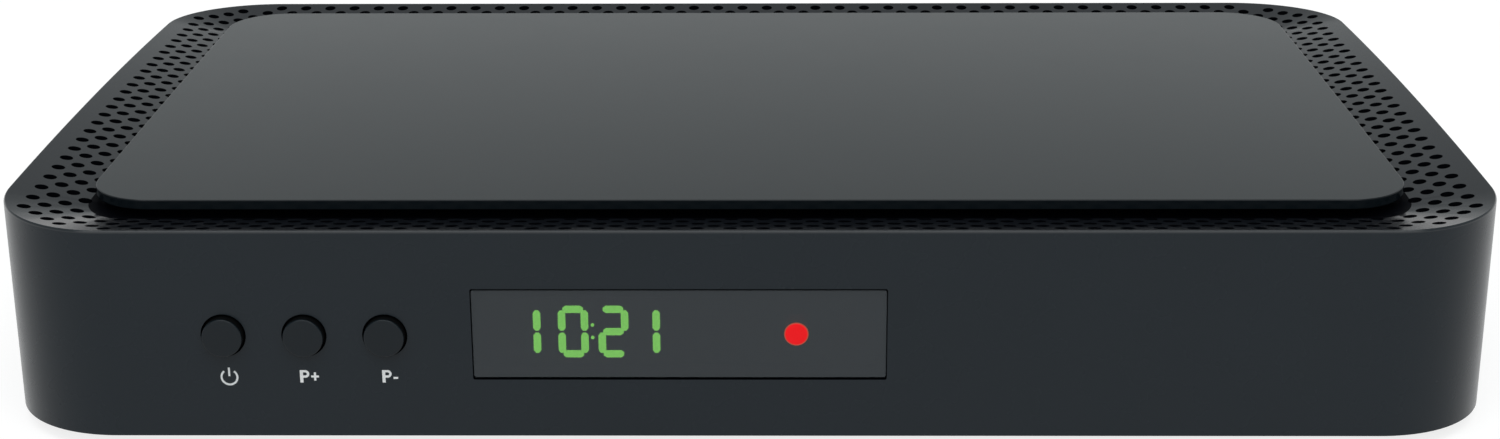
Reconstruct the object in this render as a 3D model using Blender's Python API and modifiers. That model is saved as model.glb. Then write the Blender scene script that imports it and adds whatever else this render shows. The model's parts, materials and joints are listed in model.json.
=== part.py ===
"""Satellite TV receiver: a low housing, perforated on top, with a floating plate, a display and three buttons.

Lengths are in metres. Every piece is placed in the frame of the housing: x to the right, y from the front
face to the back, z up from the lower edge of the walls. One empty carries that frame into the world, where
the origin lies at the centre of the footprint, on the surface that the feet stand on.
"""

import math

import bmesh
import bpy
from mathutils import Matrix, Vector

# Housing
WIDTH = 0.220
DEPTH = 0.135
SHELL_HEIGHT = 0.0315
CROWN = 0.0013
CROWN_STEPS = 8
CORNER_RADIUS = 0.019
CORNER_STEPS = 8
EDGE_FILLET = 0.0009
FILLET_STEPS = 2
WALL = 0.0024
RIM_WALL = 0.0012

# Clearance between pieces that touch, and how far a cutter reaches past the wall that it cuts
GAP = 0.0003
OVERRUN = 0.002

# Vent panel: a dished sheet with rows of holes that follow its outline. The holes are square and set a
# little wide, which keeps the mesh light
PANEL_THICKNESS = 0.0016
PANEL_EDGE_DROP = 0.0003
DISH_WIDTH = 0.0125
DISH_DROP = 0.0025
VENT_ROWS = 3
VENT_FIRST_INSET = 0.0040
VENT_ROW_PITCH = 0.00235
VENT_PITCH = 0.0068
VENT_HOLE_RADIUS = 0.00125
VENT_HOLE_SIDES = 4

# Top plate: a slab on four stepped pegs
PLATE_MARGIN = 0.012
PLATE_RISE = 0.00045
PLATE_THICKNESS = 0.0015
PLATE_CORNER_RADIUS = 0.010
PLATE_EDGE_BEVEL = 0.0004
PEG_SIDE_INSET = 0.028
PEG_END_INSET = 0.022
PEG_RADIUS = 0.0020
PEG_TIP = 0.0012
COLLAR_RADIUS = 0.0035

# Base, feet and the screws that close the housing
BASE_THICKNESS = 0.0024
FLOOR_SLOT_COUNT = 7
FLOOR_SLOT_PITCH = 0.0070
FLOOR_SLOT_WIDTH = 0.0022
FLOOR_SLOT_LENGTH = 0.032
FLOOR_BANK_X_SHARE = 0.205
FLOOR_BANK_Y_SHARE = 0.58
TAB_LENGTH = 0.026
TAB_THICKNESS = 0.0014
TAB_HEIGHT = 0.0036
FOOT_SIDE_INSET = 0.024
FOOT_END_INSET = 0.020
FOOT_RADIUS = 0.0063
FOOT_DROP = 0.0022
FOOT_POCKET_DEPTH = 0.0006
FOOT_CHAMFER = 0.0006
BOSS_RADIUS = 0.0035
BOSS_BITE = 0.0006
BOSS_TOP = 0.020
PILOT_RADIUS = 0.0014
PILOT_DEPTH = 0.012
SCREW_HOLE_RADIUS = 0.0017
COUNTERBORE_RADIUS = 0.0032
COUNTERBORE_DEPTH = 0.0014
SCREW_SHANK_RADIUS = 0.0011
SCREW_HEAD_RADIUS = 0.0027
SCREW_HEAD_HEIGHT = 0.0010
SCREW_LENGTH = 0.0110

# Front wall: display window and its recess. Places along the front are shares of the width
WINDOW_X_SHARE = -0.0439
WINDOW_Z = 0.0156
WINDOW_RECESS_WIDTH = 0.0598
WINDOW_RECESS_HEIGHT = 0.0137
WINDOW_RECESS_DEPTH = 0.0015
WINDOW_LEDGE = 0.0013
WINDOW_SET_BACK = 0.0002
WINDOW_THICKNESS = 0.0010
WINDOW_CORNER_RADIUS = 0.0004

# Buttons and their switches, from the front face inwards
BUTTON_X_SHARE = -0.2893
BUTTON_PITCH = 0.01163
BUTTON_Z = 0.01545
BUTTON_HOLE_RADIUS = 0.00325
BUTTON_RADIUS = 0.00290
BUTTON_PROUD = 0.0013
BUTTON_ROUNDING = 0.0004
BUTTON_FLANGE_RADIUS = 0.0043
BUTTON_FLANGE_THICKNESS = 0.0010
BUTTON_STEM_RADIUS = 0.0015
BUTTON_STEM_LENGTH = 0.0009
BUTTON_TRAVEL = 0.0005
PLUNGER_RADIUS = 0.0017
PLUNGER_LENGTH = 0.0020
PLUNGER_HOLE_RADIUS = 0.0020
PLUNGER_RUN_OUT = 0.0004
SWITCH_WIDTH = 0.0060
SWITCH_DEPTH = 0.0035

# Front circuit board and what it carries
BOARD_THICKNESS = 0.0016
FRONT_BOARD_MARGIN = 0.0107
FRONT_BOARD_HEAD_ROOM = 0.0029
GUIDE_WIDTH = 0.0050
GUIDE_DEPTH = 0.0062
GUIDE_HEIGHT = 0.014
GUIDE_GRIP = 0.0025
DISPLAY_OFFSET = 0.01325
DISPLAY_WIDTH = 0.0246
DISPLAY_HEIGHT = 0.0102
LED_OFFSET = 0.01673
LED_RADIUS = 0.0015
LED_FLANGE_RADIUS = 0.0019
LED_FLANGE_THICKNESS = 0.0010
LENS_RADIUS = 0.00175
LENS_FLANGE_RADIUS = 0.0025
LENS_FLANGE_THICKNESS = 0.0008
LENS_PIPE_RADIUS = 0.0015
LENS_PIPE_LENGTH = 0.0014
IR_OFFSET = 0.0246
IR_WIDTH = 0.0056
IR_HEIGHT = 0.0070
IR_BODY_DEPTH = 0.0026
IR_DOME_RADIUS = 0.0022

# Main circuit board on its standoffs
BOARD_SIDE_ROOM = 0.018
BOARD_FRONT_ROOM = 0.0246
STANDOFF_SIDE_INSET = 0.007
STANDOFF_FRONT_INSET = 0.006
STANDOFF_REAR_INSET = 0.049
STANDOFF_RADIUS = 0.0030
STANDOFF_HEIGHT = 0.0050
STANDOFF_PILOT_RADIUS = 0.0012
STANDOFF_PILOT_DEPTH = 0.0044
BOARD_HOLE_RADIUS = 0.0015
BOARD_SCREW_SHANK_RADIUS = 0.0009
BOARD_SCREW_HEAD_RADIUS = 0.0025
BOARD_SCREW_HEAD_HEIGHT = 0.0014
BOARD_SCREW_LENGTH = 0.0058

# Rear panel and the opening behind which it stands
REAR_PANEL_THICKNESS = 0.0010
REAR_PANEL_SIDE_LAP = 0.004
REAR_PANEL_TOP_LAP = 0.001
REAR_OPENING_MARGIN = 0.003
REAR_OPENING_SILL = 0.0042
REAR_OPENING_HEAD = 0.0063
REAR_OPENING_RADIUS = 0.0015
SOCKET_REACH = 0.0024

# Sockets on the rear edge of the main board, at shares of the width
HDMI_X_SHARE = -0.01
HDMI_WIDTH = 0.0150
HDMI_HEIGHT = 0.0056
HDMI_DEPTH = 0.0120
USB_X_SHARE = -0.11
USB_WIDTH = 0.0132
USB_HEIGHT = 0.0058
USB_DEPTH = 0.0140
SHELL_SHEET = 0.0005
TONGUE_THICKNESS = 0.0012
TONGUE_SIDE_ROOM = 0.0012
TONGUE_SET_BACK = 0.0012
NETWORK_X_SHARE = -0.21
NETWORK_WIDTH = 0.0160
NETWORK_HEIGHT = 0.0134
NETWORK_DEPTH = 0.0180
NETWORK_CAVITY_WIDTH = 0.0118
NETWORK_CAVITY_HEIGHT = 0.0078
NETWORK_CAVITY_DEPTH = 0.0130
NETWORK_CAVITY_LOW = 0.0016
NETWORK_LATCH_WIDTH = 0.0064
NETWORK_LATCH_HEIGHT = 0.0018
AUDIO_X_SHARE = 0.09
AUDIO_WIDTH = 0.0100
AUDIO_HEIGHT = 0.0110
AUDIO_DEPTH = 0.0110
AUDIO_BARREL_RADIUS = 0.00415
AUDIO_BARREL_REACH = 0.0085
AUDIO_BORE_RADIUS = 0.0018
AUDIO_BORE_DEPTH = 0.0080
JACK_X_SHARE = -0.30
JACK_WIDTH = 0.0076
JACK_HEIGHT = 0.0064
JACK_DEPTH = 0.0130
JACK_COLLAR_RADIUS = 0.0029
JACK_COLLAR_REACH = 0.0030
JACK_BORE_RADIUS = 0.0018
JACK_BORE_DEPTH = 0.0110
POWER_X_SHARE = -0.365
POWER_WIDTH = 0.0092
POWER_HEIGHT = 0.0110
POWER_DEPTH = 0.0140
POWER_BORE_RADIUS = 0.0032
POWER_BORE_DEPTH = 0.0095
POWER_PIN_RADIUS = 0.0010
POWER_PIN_SET_BACK = 0.0012

# Tuner with its two threaded sockets
TUNER_SIDE_ROOM = 0.006
TUNER_WIDTH = 0.050
TUNER_DEPTH = 0.036
TUNER_HEAD_ROOM = 0.0037
TUNER_LID_STEP = 0.0008
AERIAL_OFFSET = 0.012
AERIAL_FLANGE_RADIUS = 0.0060
AERIAL_FLANGE_THICKNESS = 0.0020
AERIAL_FLANGE_ROOM = 0.0005
AERIAL_BARREL_RADIUS = 0.0047
AERIAL_BARREL_LENGTH = 0.0140
AERIAL_MOUTH_RADIUS = 0.0036
AERIAL_MOUTH_DEPTH = 0.0015
AERIAL_CONTACT_RADIUS = 0.0009
AERIAL_CONTACT_DEPTH = 0.0060
NUT_ACROSS_FLATS = 0.0115
NUT_THICKNESS = 0.0022

# Parts on the main board
CHIP_X_SHARE = -0.036
CHIP_FRONT_INSET = 0.036
CHIP_SIDE = 0.020
CHIP_THICKNESS = 0.0014
SINK_SIDE = 0.026
SINK_BASE = 0.0020
SINK_HEIGHT = 0.0075
SINK_FIN_COUNT = 7
SINK_FIN_THICKNESS = 0.0012
MEMORY_OFFSET = 0.029
MEMORY_WIDTH = 0.009
MEMORY_DEPTH = 0.013
MEMORY_THICKNESS = 0.0011
FLASH_OFFSET = 0.042
FLASH_WIDTH = 0.0052
FLASH_DEPTH = 0.0078
FLASH_THICKNESS = 0.0018
CAPACITOR_RADIUS = 0.0040
CAPACITOR_HEIGHT = 0.0120
CAPACITOR_GROOVE = 0.0004
CAPACITOR_GROOVE_HEIGHT = 0.0022
CAPACITOR_CHAMFER = 0.0005
CAPACITOR_X_SHARES = (-0.355, -0.30, -0.355)
CAPACITOR_REAR_INSETS = (0.025, 0.025, 0.037)
INDUCTOR_X_SHARE = -0.29
INDUCTOR_REAR_INSET = 0.039
INDUCTOR_SIDE = 0.010
INDUCTOR_HEIGHT = 0.0045
PACKAGE_BEVEL = 0.0004

# Flat cable between the boards
CABLE_X_SHARE = -0.136
CABLE_WIDTH = 0.012
CABLE_THICKNESS = 0.0004
CABLE_HUMP = 0.0045
CABLE_STEPS = 12
CABLE_SOCKET_WIDTH = 0.016
CABLE_SOCKET_HEIGHT = 0.0026
CABLE_SOCKET_DEPTH = 0.0040
FRONT_CABLE_Z = 0.0130
MAIN_CABLE_SOCKET_INSET = 0.0020

# How finely round shapes are divided, and the angle past which an edge stays sharp
ROUND_SIDES = 16
SMALL_SIDES = 10
MERGE_DISTANCE = 0.00001
SHARP_ANGLE = math.radians(35)

# Places that follow from the sizes above
WORLD_Z = FOOT_DROP
WINDOW_X = WIDTH * WINDOW_X_SHARE
DISPLAY_X = WINDOW_X - DISPLAY_OFFSET
LED_X = WINDOW_X + LED_OFFSET
IR_X = WINDOW_X + IR_OFFSET
BUTTON_XS = tuple(WIDTH * BUTTON_X_SHARE + step * BUTTON_PITCH for step in (-1, 0, 1))
PEG_X = WIDTH / 2 - PLATE_MARGIN - PEG_SIDE_INSET
PEG_Y = PLATE_MARGIN + PEG_END_INSET
FOOT_X = WIDTH / 2 - FOOT_SIDE_INSET
FLOOR_BANK_X = WIDTH * FLOOR_BANK_X_SHARE
FLOOR_BANK_Y = DEPTH * FLOOR_BANK_Y_SHARE
HDMI_X = WIDTH * HDMI_X_SHARE
USB_X = WIDTH * USB_X_SHARE
NETWORK_X = WIDTH * NETWORK_X_SHARE
AUDIO_X = WIDTH * AUDIO_X_SHARE
JACK_X = WIDTH * JACK_X_SHARE
POWER_X = WIDTH * POWER_X_SHARE
CHIP_X = WIDTH * CHIP_X_SHARE
INDUCTOR_X = WIDTH * INDUCTOR_X_SHARE
CABLE_X = WIDTH * CABLE_X_SHARE
BOARD_SEAT_Z = BASE_THICKNESS + STANDOFF_HEIGHT + GAP
BOARD_TOP_Z = BOARD_SEAT_Z + BOARD_THICKNESS
PART_SEAT_Z = BOARD_TOP_Z + GAP
PANEL_EDGE_Z = SHELL_HEIGHT - PANEL_EDGE_DROP
PANEL_INSET = RIM_WALL + GAP
LEDGE_Z = PANEL_EDGE_Z - PANEL_THICKNESS - GAP
PANEL_UNDERSIDE_Z = PANEL_EDGE_Z - DISH_DROP - PANEL_THICKNESS
BASE_INSET = WALL + GAP
REAR_WALL_INNER_Y = DEPTH - WALL
REAR_PANEL_OUTER_Y = REAR_WALL_INNER_Y - GAP
REAR_PANEL_INNER_Y = REAR_PANEL_OUTER_Y - REAR_PANEL_THICKNESS
REAR_PANEL_LOW = BASE_THICKNESS + GAP
REAR_OPENING_HALF = WIDTH / 2 - CORNER_RADIUS - REAR_OPENING_MARGIN
REAR_OPENING_TOP = SHELL_HEIGHT - REAR_OPENING_HEAD
REAR_PANEL_HALF = REAR_OPENING_HALF + REAR_PANEL_SIDE_LAP
REAR_PANEL_TOP = REAR_OPENING_TOP + REAR_PANEL_TOP_LAP
BOARD_REAR_Y = REAR_PANEL_INNER_Y - GAP
SOCKET_FACE_Y = REAR_PANEL_INNER_Y + SOCKET_REACH
FLANGE_Y = WALL + GAP
STEM_Y = FLANGE_Y + BUTTON_FLANGE_THICKNESS
PLUNGER_Y = STEM_Y + BUTTON_STEM_LENGTH + GAP
SWITCH_Y = PLUNGER_Y + BUTTON_TRAVEL + GAP
SWITCH_BACK_Y = SWITCH_Y + SWITCH_DEPTH
FRONT_BOARD_Y = SWITCH_BACK_Y + GAP
FRONT_BOARD_BACK_Y = FRONT_BOARD_Y + BOARD_THICKNESS
FRONT_BOARD_LOW = BASE_THICKNESS + GAP
FRONT_BOARD_TOP = PANEL_UNDERSIDE_Z - FRONT_BOARD_HEAD_ROOM
FRONT_BOARD_LEFT = BUTTON_XS[0] - FRONT_BOARD_MARGIN
FRONT_BOARD_RIGHT = IR_X + IR_WIDTH / 2 + FRONT_BOARD_MARGIN
BOARD_FRONT_Y = FRONT_BOARD_BACK_Y + BOARD_FRONT_ROOM
BOARD_HALF = WIDTH / 2 - BOARD_SIDE_ROOM
STANDOFF_X = BOARD_HALF - STANDOFF_SIDE_INSET
STANDOFF_FRONT_Y = BOARD_FRONT_Y + STANDOFF_FRONT_INSET
STANDOFF_REAR_Y = BOARD_REAR_Y - STANDOFF_REAR_INSET
CHIP_Y = BOARD_FRONT_Y + CHIP_FRONT_INSET
AERIAL_AXIS_Z = PART_SEAT_Z + AERIAL_FLANGE_RADIUS + AERIAL_FLANGE_ROOM
AERIAL_FLANGE_Y = REAR_PANEL_INNER_Y - GAP - AERIAL_FLANGE_THICKNESS
AERIAL_TIP_Y = AERIAL_FLANGE_Y + AERIAL_FLANGE_THICKNESS + AERIAL_BARREL_LENGTH
TUNER_BACK_Y = AERIAL_FLANGE_Y - GAP
AUDIO_AXIS_Z = PART_SEAT_Z + AUDIO_HEIGHT / 2
JACK_AXIS_Z = PART_SEAT_Z + JACK_HEIGHT / 2
POWER_AXIS_Z = PART_SEAT_Z + POWER_HEIGHT / 2
BOSS_REACH = CORNER_RADIUS - WALL - BOSS_RADIUS + BOSS_BITE
BOSS_OFFSET = CORNER_RADIUS - BOSS_REACH / math.sqrt(2)
TUNER_X = WIDTH / 2 - BOSS_OFFSET - BOSS_RADIUS - TUNER_SIDE_ROOM - TUNER_WIDTH / 2
TUNER_HEIGHT = PANEL_UNDERSIDE_Z - TUNER_HEAD_ROOM - TUNER_LID_STEP - PART_SEAT_Z

# The world origin is the centre of the whole length, from the button faces to the aerial sockets
WORLD_Y = (BUTTON_PROUD - AERIAL_TIP_Y) / 2


def clear_scene():
    """Remove whatever the file holds."""
    for obj in list(bpy.data.objects):
        bpy.data.objects.remove(obj, do_unlink=True)


def new_collection(name):
    """Add a collection to the scene."""
    collection = bpy.data.collections.new(name)
    bpy.context.scene.collection.children.link(collection)
    return collection


def crown_rise(y):
    """Height that the top gains at a depth y: a shallow arch drawn with straight steps."""
    place = min(max(y / DEPTH, 0.0), 1.0) * CROWN_STEPS
    step = min(int(place), CROWN_STEPS - 1)
    share = place - step
    low, high = (CROWN * (1 - (2 * edge / CROWN_STEPS - 1) ** 2) for edge in (step, step + 1))
    return low + (high - low) * share


def plain_material(name, colour, roughness, metallic=0.0):
    """A Principled material with one colour."""
    material = bpy.data.materials.new(name)
    material.use_nodes = True
    shader = material.node_tree.nodes["Principled BSDF"]
    shader.inputs["Base Color"].default_value = (*colour, 1.0)
    shader.inputs["Roughness"].default_value = roughness
    shader.inputs["Metallic"].default_value = metallic
    material.diffuse_color = (*colour, 1.0)
    return material


def add_mesh_object(model, name, bm, material=None, collection=None, place=(0, 0, 0)):
    """Turn a bmesh into an object in the frame of the housing."""
    bmesh.ops.recalc_face_normals(bm, faces=bm.faces)
    mesh = bpy.data.meshes.new(name)
    bm.to_mesh(mesh)
    bm.free()
    if mesh.polygons:
        mesh.shade_smooth()
        mesh.set_sharp_from_angle(angle=SHARP_ANGLE)
    obj = bpy.data.objects.new(name, mesh)
    obj.location = place
    obj.parent = model["frame"]
    (collection or model["parts"]).objects.link(obj)
    if material:
        mesh.materials.append(material)
    return obj


def add_block(bm, low, high, radius=0.0, axis="Z", steps=CORNER_STEPS):
    """Add a box between two corners, with the four edges along one axis rounded."""
    low, high = Vector(low), Vector(high)
    made = bmesh.ops.create_cube(bm, size=1.0)
    verts = made["verts"]
    bmesh.ops.scale(bm, vec=high - low, verts=verts)
    bmesh.ops.translate(bm, vec=(low + high) / 2, verts=verts)
    if radius > 0:
        edges = {edge for vert in verts for edge in vert.link_edges}
        along = [edge for edge in edges if is_along(edge, axis)]
        bmesh.ops.bevel(bm, geom=along, offset=radius, segments=steps, affect="EDGES", profile=0.5)
    return bm


def is_along(edge, axis):
    """True where an edge runs along one axis."""
    line = (edge.verts[1].co - edge.verts[0].co).normalized()
    return abs(line["XYZ".index(axis)]) > math.cos(SHARP_ANGLE)


def block(low, high, radius=0.0, axis="Z", steps=CORNER_STEPS):
    """A new bmesh with one box."""
    return add_block(bmesh.new(), low, high, radius, axis, steps)


def soft_block(low, high, bevel):
    """A box with all its edges bevelled once."""
    bm = block(low, high)
    bmesh.ops.bevel(bm, geom=list(bm.edges), offset=bevel, segments=1, affect="EDGES", profile=0.5)
    return bm


def slab(inset, low_z, high_z, corner_radius=CORNER_RADIUS):
    """The outline of the housing, moved inwards and given a height."""
    low = (inset - WIDTH / 2, inset, low_z)
    high = (WIDTH / 2 - inset, DEPTH - inset, high_z)
    return block(low, high, corner_radius - inset)


def add_rod(bm, radius, start, end, sides=ROUND_SIDES, turn=0.0):
    """Add a cylinder between two points."""
    start, end = Vector(start), Vector(end)
    line = end - start
    spin = Matrix.Rotation(turn, 4, "Z")
    aim = line.to_track_quat("Z", "Y").to_matrix().to_4x4()
    matrix = Matrix.Translation((start + end) / 2) @ aim @ spin
    bmesh.ops.create_cone(bm, cap_ends=True, segments=sides, radius1=radius, radius2=radius,
                          depth=line.length, matrix=matrix)
    return bm


def rod(radius, start, end, sides=ROUND_SIDES, turn=0.0):
    """A new bmesh with one cylinder."""
    return add_rod(bmesh.new(), radius, start, end, sides, turn)


def slice_along_depth(bm):
    """Divide a mesh at each step of the crown."""
    for step in range(1, CROWN_STEPS):
        geometry = list(bm.verts) + list(bm.edges) + list(bm.faces)
        bmesh.ops.bisect_plane(bm, geom=geometry, dist=MERGE_DISTANCE,
                               plane_co=(0, DEPTH * step / CROWN_STEPS, 0), plane_no=(0, 1, 0))


def raise_crown(verts):
    """Lift vertices by the crown at their depth."""
    for vert in verts:
        vert.co.z += crown_rise(vert.co.y)


def turned(model, name, profile, place, material, collection=None, sides=ROUND_SIDES, facing="Z"):
    """A piece turned from a profile of (radius, height) points, which runs down its outer side.

    Facing "Z" keeps the heights upright, "-Y" points them to the front and "Y" to the back.
    """
    bm = bmesh.new()
    verts = [bm.verts.new((radius, 0, height)) for radius, height in profile]
    for first, second in zip(verts, verts[1:]):
        bm.edges.new((first, second))
    obj = add_mesh_object(model, name, bm, material, collection, place)
    obj.rotation_euler.x = {"Z": 0, "-Y": math.pi / 2, "Y": -math.pi / 2}[facing]
    screw = obj.modifiers.new("turn", "SCREW")
    screw.steps = sides
    screw.render_steps = sides
    screw.use_merge_vertices = True
    screw.merge_threshold = MERGE_DISTANCE
    screw.use_smooth_shade = False
    return obj


def boolean(target, tool, operation):
    """Cut a piece with a tool, or join the tool to it."""
    modifier = target.modifiers.new(tool.name, "BOOLEAN")
    modifier.operation = operation
    modifier.object = tool
    modifier.solver = "EXACT"


def hide_tool(tool):
    """Show a cutter as a wire that never renders."""
    tool.hide_render = True
    tool.display_type = "WIRE"


def cut(model, target, name, bm):
    """Cut a piece with a mesh kept among the cutters."""
    tool = add_mesh_object(model, name, bm, collection=model["cutters"])
    hide_tool(tool)
    boolean(target, tool, "DIFFERENCE")
    return tool


def join(model, target, name, bm):
    """Join a mesh to a piece."""
    tool = add_mesh_object(model, name, bm, collection=model["cutters"])
    hide_tool(tool)
    boolean(target, tool, "UNION")
    return tool


def corner_places(offset):
    """Places near the four corners of the housing, each with the name of its corner."""
    for x_side, x_name in ((-1, "left"), (1, "right")):
        for y, y_name in ((offset, "front"), (DEPTH - offset, "rear")):
            yield x_side * (WIDTH / 2 - offset), y, f"{y_name}_{x_name}"


def foot_places():
    """Places of the four feet."""
    for x_side, x_name in ((-1, "left"), (1, "right")):
        for y, y_name in ((FOOT_END_INSET, "front"), (DEPTH - FOOT_END_INSET, "rear")):
            yield x_side * FOOT_X, y, f"{y_name}_{x_name}"


def standoff_places():
    """Places of the four standoffs that carry the main board."""
    for x_side, x_name in ((-1, "left"), (1, "right")):
        for y, y_name in ((STANDOFF_FRONT_Y, "front"), (STANDOFF_REAR_Y, "rear")):
            yield x_side * STANDOFF_X, y, f"{y_name}_{x_name}"


def peg_places():
    """Places of the four pegs under the top plate."""
    for x_side in (-1, 1):
        for y in (PEG_Y, DEPTH - PEG_Y):
            yield x_side * PEG_X, y


def panel_floor_z(y):
    """Height of the level middle of the vent panel."""
    return PANEL_EDGE_Z - DISH_DROP + crown_rise(y)


def add_upper_housing(model):
    """Walls with a rounded outer edge, a rebate for the vent panel and bosses in the corners."""
    bm = slab(0.0, 0.0, SHELL_HEIGHT)
    top = [edge for edge in bm.edges if all(vert.co.z > SHELL_HEIGHT / 2 for vert in edge.verts)]
    bmesh.ops.bevel(bm, geom=top, offset=EDGE_FILLET, segments=FILLET_STEPS, affect="EDGES", profile=0.5)
    slice_along_depth(bm)
    raise_crown([vert for vert in bm.verts if vert.co.z > SHELL_HEIGHT / 2])
    housing = add_mesh_object(model, "upper_housing", bm, model["housing_plastic"])

    above = SHELL_HEIGHT + CROWN + OVERRUN
    cut(model, housing, "housing_cavity", slab(WALL, -OVERRUN, above))
    rebate = slab(RIM_WALL, LEDGE_Z, above)
    slice_along_depth(rebate)
    raise_crown([vert for vert in rebate.verts if vert.co.z < SHELL_HEIGHT])
    cut(model, housing, "panel_rebate", rebate)

    half_width, half_height = WINDOW_RECESS_WIDTH / 2, WINDOW_RECESS_HEIGHT / 2
    recess = block((WINDOW_X - half_width, -OVERRUN, WINDOW_Z - half_height),
                   (WINDOW_X + half_width, WINDOW_RECESS_DEPTH, WINDOW_Z + half_height))
    cut(model, housing, "window_recess", recess)
    half_width, half_height = half_width - WINDOW_LEDGE, half_height - WINDOW_LEDGE
    hole = block((WINDOW_X - half_width, -OVERRUN, WINDOW_Z - half_height),
                 (WINDOW_X + half_width, WALL + OVERRUN, WINDOW_Z + half_height))
    for x in BUTTON_XS:
        add_rod(hole, BUTTON_HOLE_RADIUS, (x, -OVERRUN, BUTTON_Z), (x, WALL + OVERRUN, BUTTON_Z))
    add_block(hole, (-REAR_OPENING_HALF, DEPTH - WALL - OVERRUN, REAR_OPENING_SILL),
              (REAR_OPENING_HALF, DEPTH + OVERRUN, REAR_OPENING_TOP), REAR_OPENING_RADIUS, "Y", FILLET_STEPS)
    cut(model, housing, "wall_openings", hole)

    bosses, pilots = bmesh.new(), bmesh.new()
    boss_low = BASE_THICKNESS + GAP
    for x, y, _ in corner_places(BOSS_OFFSET):
        add_rod(bosses, BOSS_RADIUS, (x, y, boss_low), (x, y, BOSS_TOP), SMALL_SIDES)
        add_rod(pilots, PILOT_RADIUS, (x, y, boss_low - OVERRUN), (x, y, boss_low + PILOT_DEPTH),
                SMALL_SIDES)
    join(model, housing, "corner_bosses", bosses)
    cut(model, housing, "boss_pilots", pilots)
    return housing


def vent_row(row):
    """Places of the holes of one row, which runs round the housing at an even inset."""
    inset = VENT_FIRST_INSET + row * VENT_ROW_PITCH
    radius = CORNER_RADIUS - inset
    shift = (row % 2) / 2
    for straight, other, swap in ((WIDTH, DEPTH, False), (DEPTH, WIDTH, True)):
        run = straight / 2 - CORNER_RADIUS
        count = int(run / VENT_PITCH - shift)
        for step in range(-count, count + 1 + row % 2):
            along = (step - shift) * VENT_PITCH
            for side in (-1, 1):
                across = side * (other / 2 - inset)
                yield (across, along) if swap else (along, across)
    corner_count = max(1, round(radius * math.pi / 2 / VENT_PITCH))
    for step in range(corner_count):
        angle = (step + 0.5) / corner_count * math.pi / 2
        for x_side in (-1, 1):
            for y_side in (-1, 1):
                yield (x_side * (WIDTH / 2 - CORNER_RADIUS + radius * math.cos(angle)),
                       y_side * (DEPTH / 2 - CORNER_RADIUS + radius * math.sin(angle)))


def add_vent_panel(model):
    """The dished sheet with its rows of holes and the four holes for the pegs of the plate."""
    bm = slab(PANEL_INSET, PANEL_EDGE_Z - PANEL_THICKNESS, PANEL_EDGE_Z)
    for direction in (-1, 1):
        faces = [face for face in bm.faces if face.normal.z * direction > math.cos(SHARP_ANGLE)]
        bmesh.ops.inset_region(bm, faces=faces, thickness=DISH_WIDTH, depth=-direction * DISH_DROP,
                               use_even_offset=True, use_boundary=True)
        bm.normal_update()
    slice_along_depth(bm)
    raise_crown(bm.verts)
    panel = add_mesh_object(model, "vent_panel", bm, model["vent_plastic"])

    holes = bmesh.new()
    low = PANEL_EDGE_Z - DISH_DROP - PANEL_THICKNESS - OVERRUN
    high = PANEL_EDGE_Z + CROWN + OVERRUN
    for row in range(VENT_ROWS):
        for x, y in vent_row(row):
            y += DEPTH / 2
            add_rod(holes, VENT_HOLE_RADIUS, (x, y, low), (x, y, high), VENT_HOLE_SIDES)
    for x, y in peg_places():
        add_rod(holes, PEG_RADIUS + GAP, (x, y, low), (x, y, high), SMALL_SIDES)
    cut(model, panel, "vent_holes", holes)
    return panel


def add_top_plate(model):
    """The slab that floats over the vent panel on stepped pegs."""
    top_z = SHELL_HEIGHT + PLATE_RISE
    low = (PLATE_MARGIN - WIDTH / 2, PLATE_MARGIN, top_z - PLATE_THICKNESS)
    high = (WIDTH / 2 - PLATE_MARGIN, DEPTH - PLATE_MARGIN, top_z)
    bm = block(low, high, PLATE_CORNER_RADIUS)
    rims = [edge for edge in bm.edges if not is_along(edge, "Z")]
    bmesh.ops.bevel(bm, geom=rims, offset=PLATE_EDGE_BEVEL, segments=1, affect="EDGES", profile=0.5)
    plate = add_mesh_object(model, "top_plate", bm, model["plate_plastic"])

    root_z = top_z - PLATE_THICKNESS / 2
    collars, pegs = bmesh.new(), bmesh.new()
    for x, y in peg_places():
        seat = panel_floor_z(y) + GAP
        tip = panel_floor_z(y) - PANEL_THICKNESS - PEG_TIP
        add_rod(collars, COLLAR_RADIUS, (x, y, seat), (x, y, root_z), SMALL_SIDES)
        add_rod(pegs, PEG_RADIUS, (x, y, tip), (x, y, root_z), SMALL_SIDES)
    join(model, plate, "plate_collars", collars)
    join(model, plate, "plate_pegs", pegs)
    return plate


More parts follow.
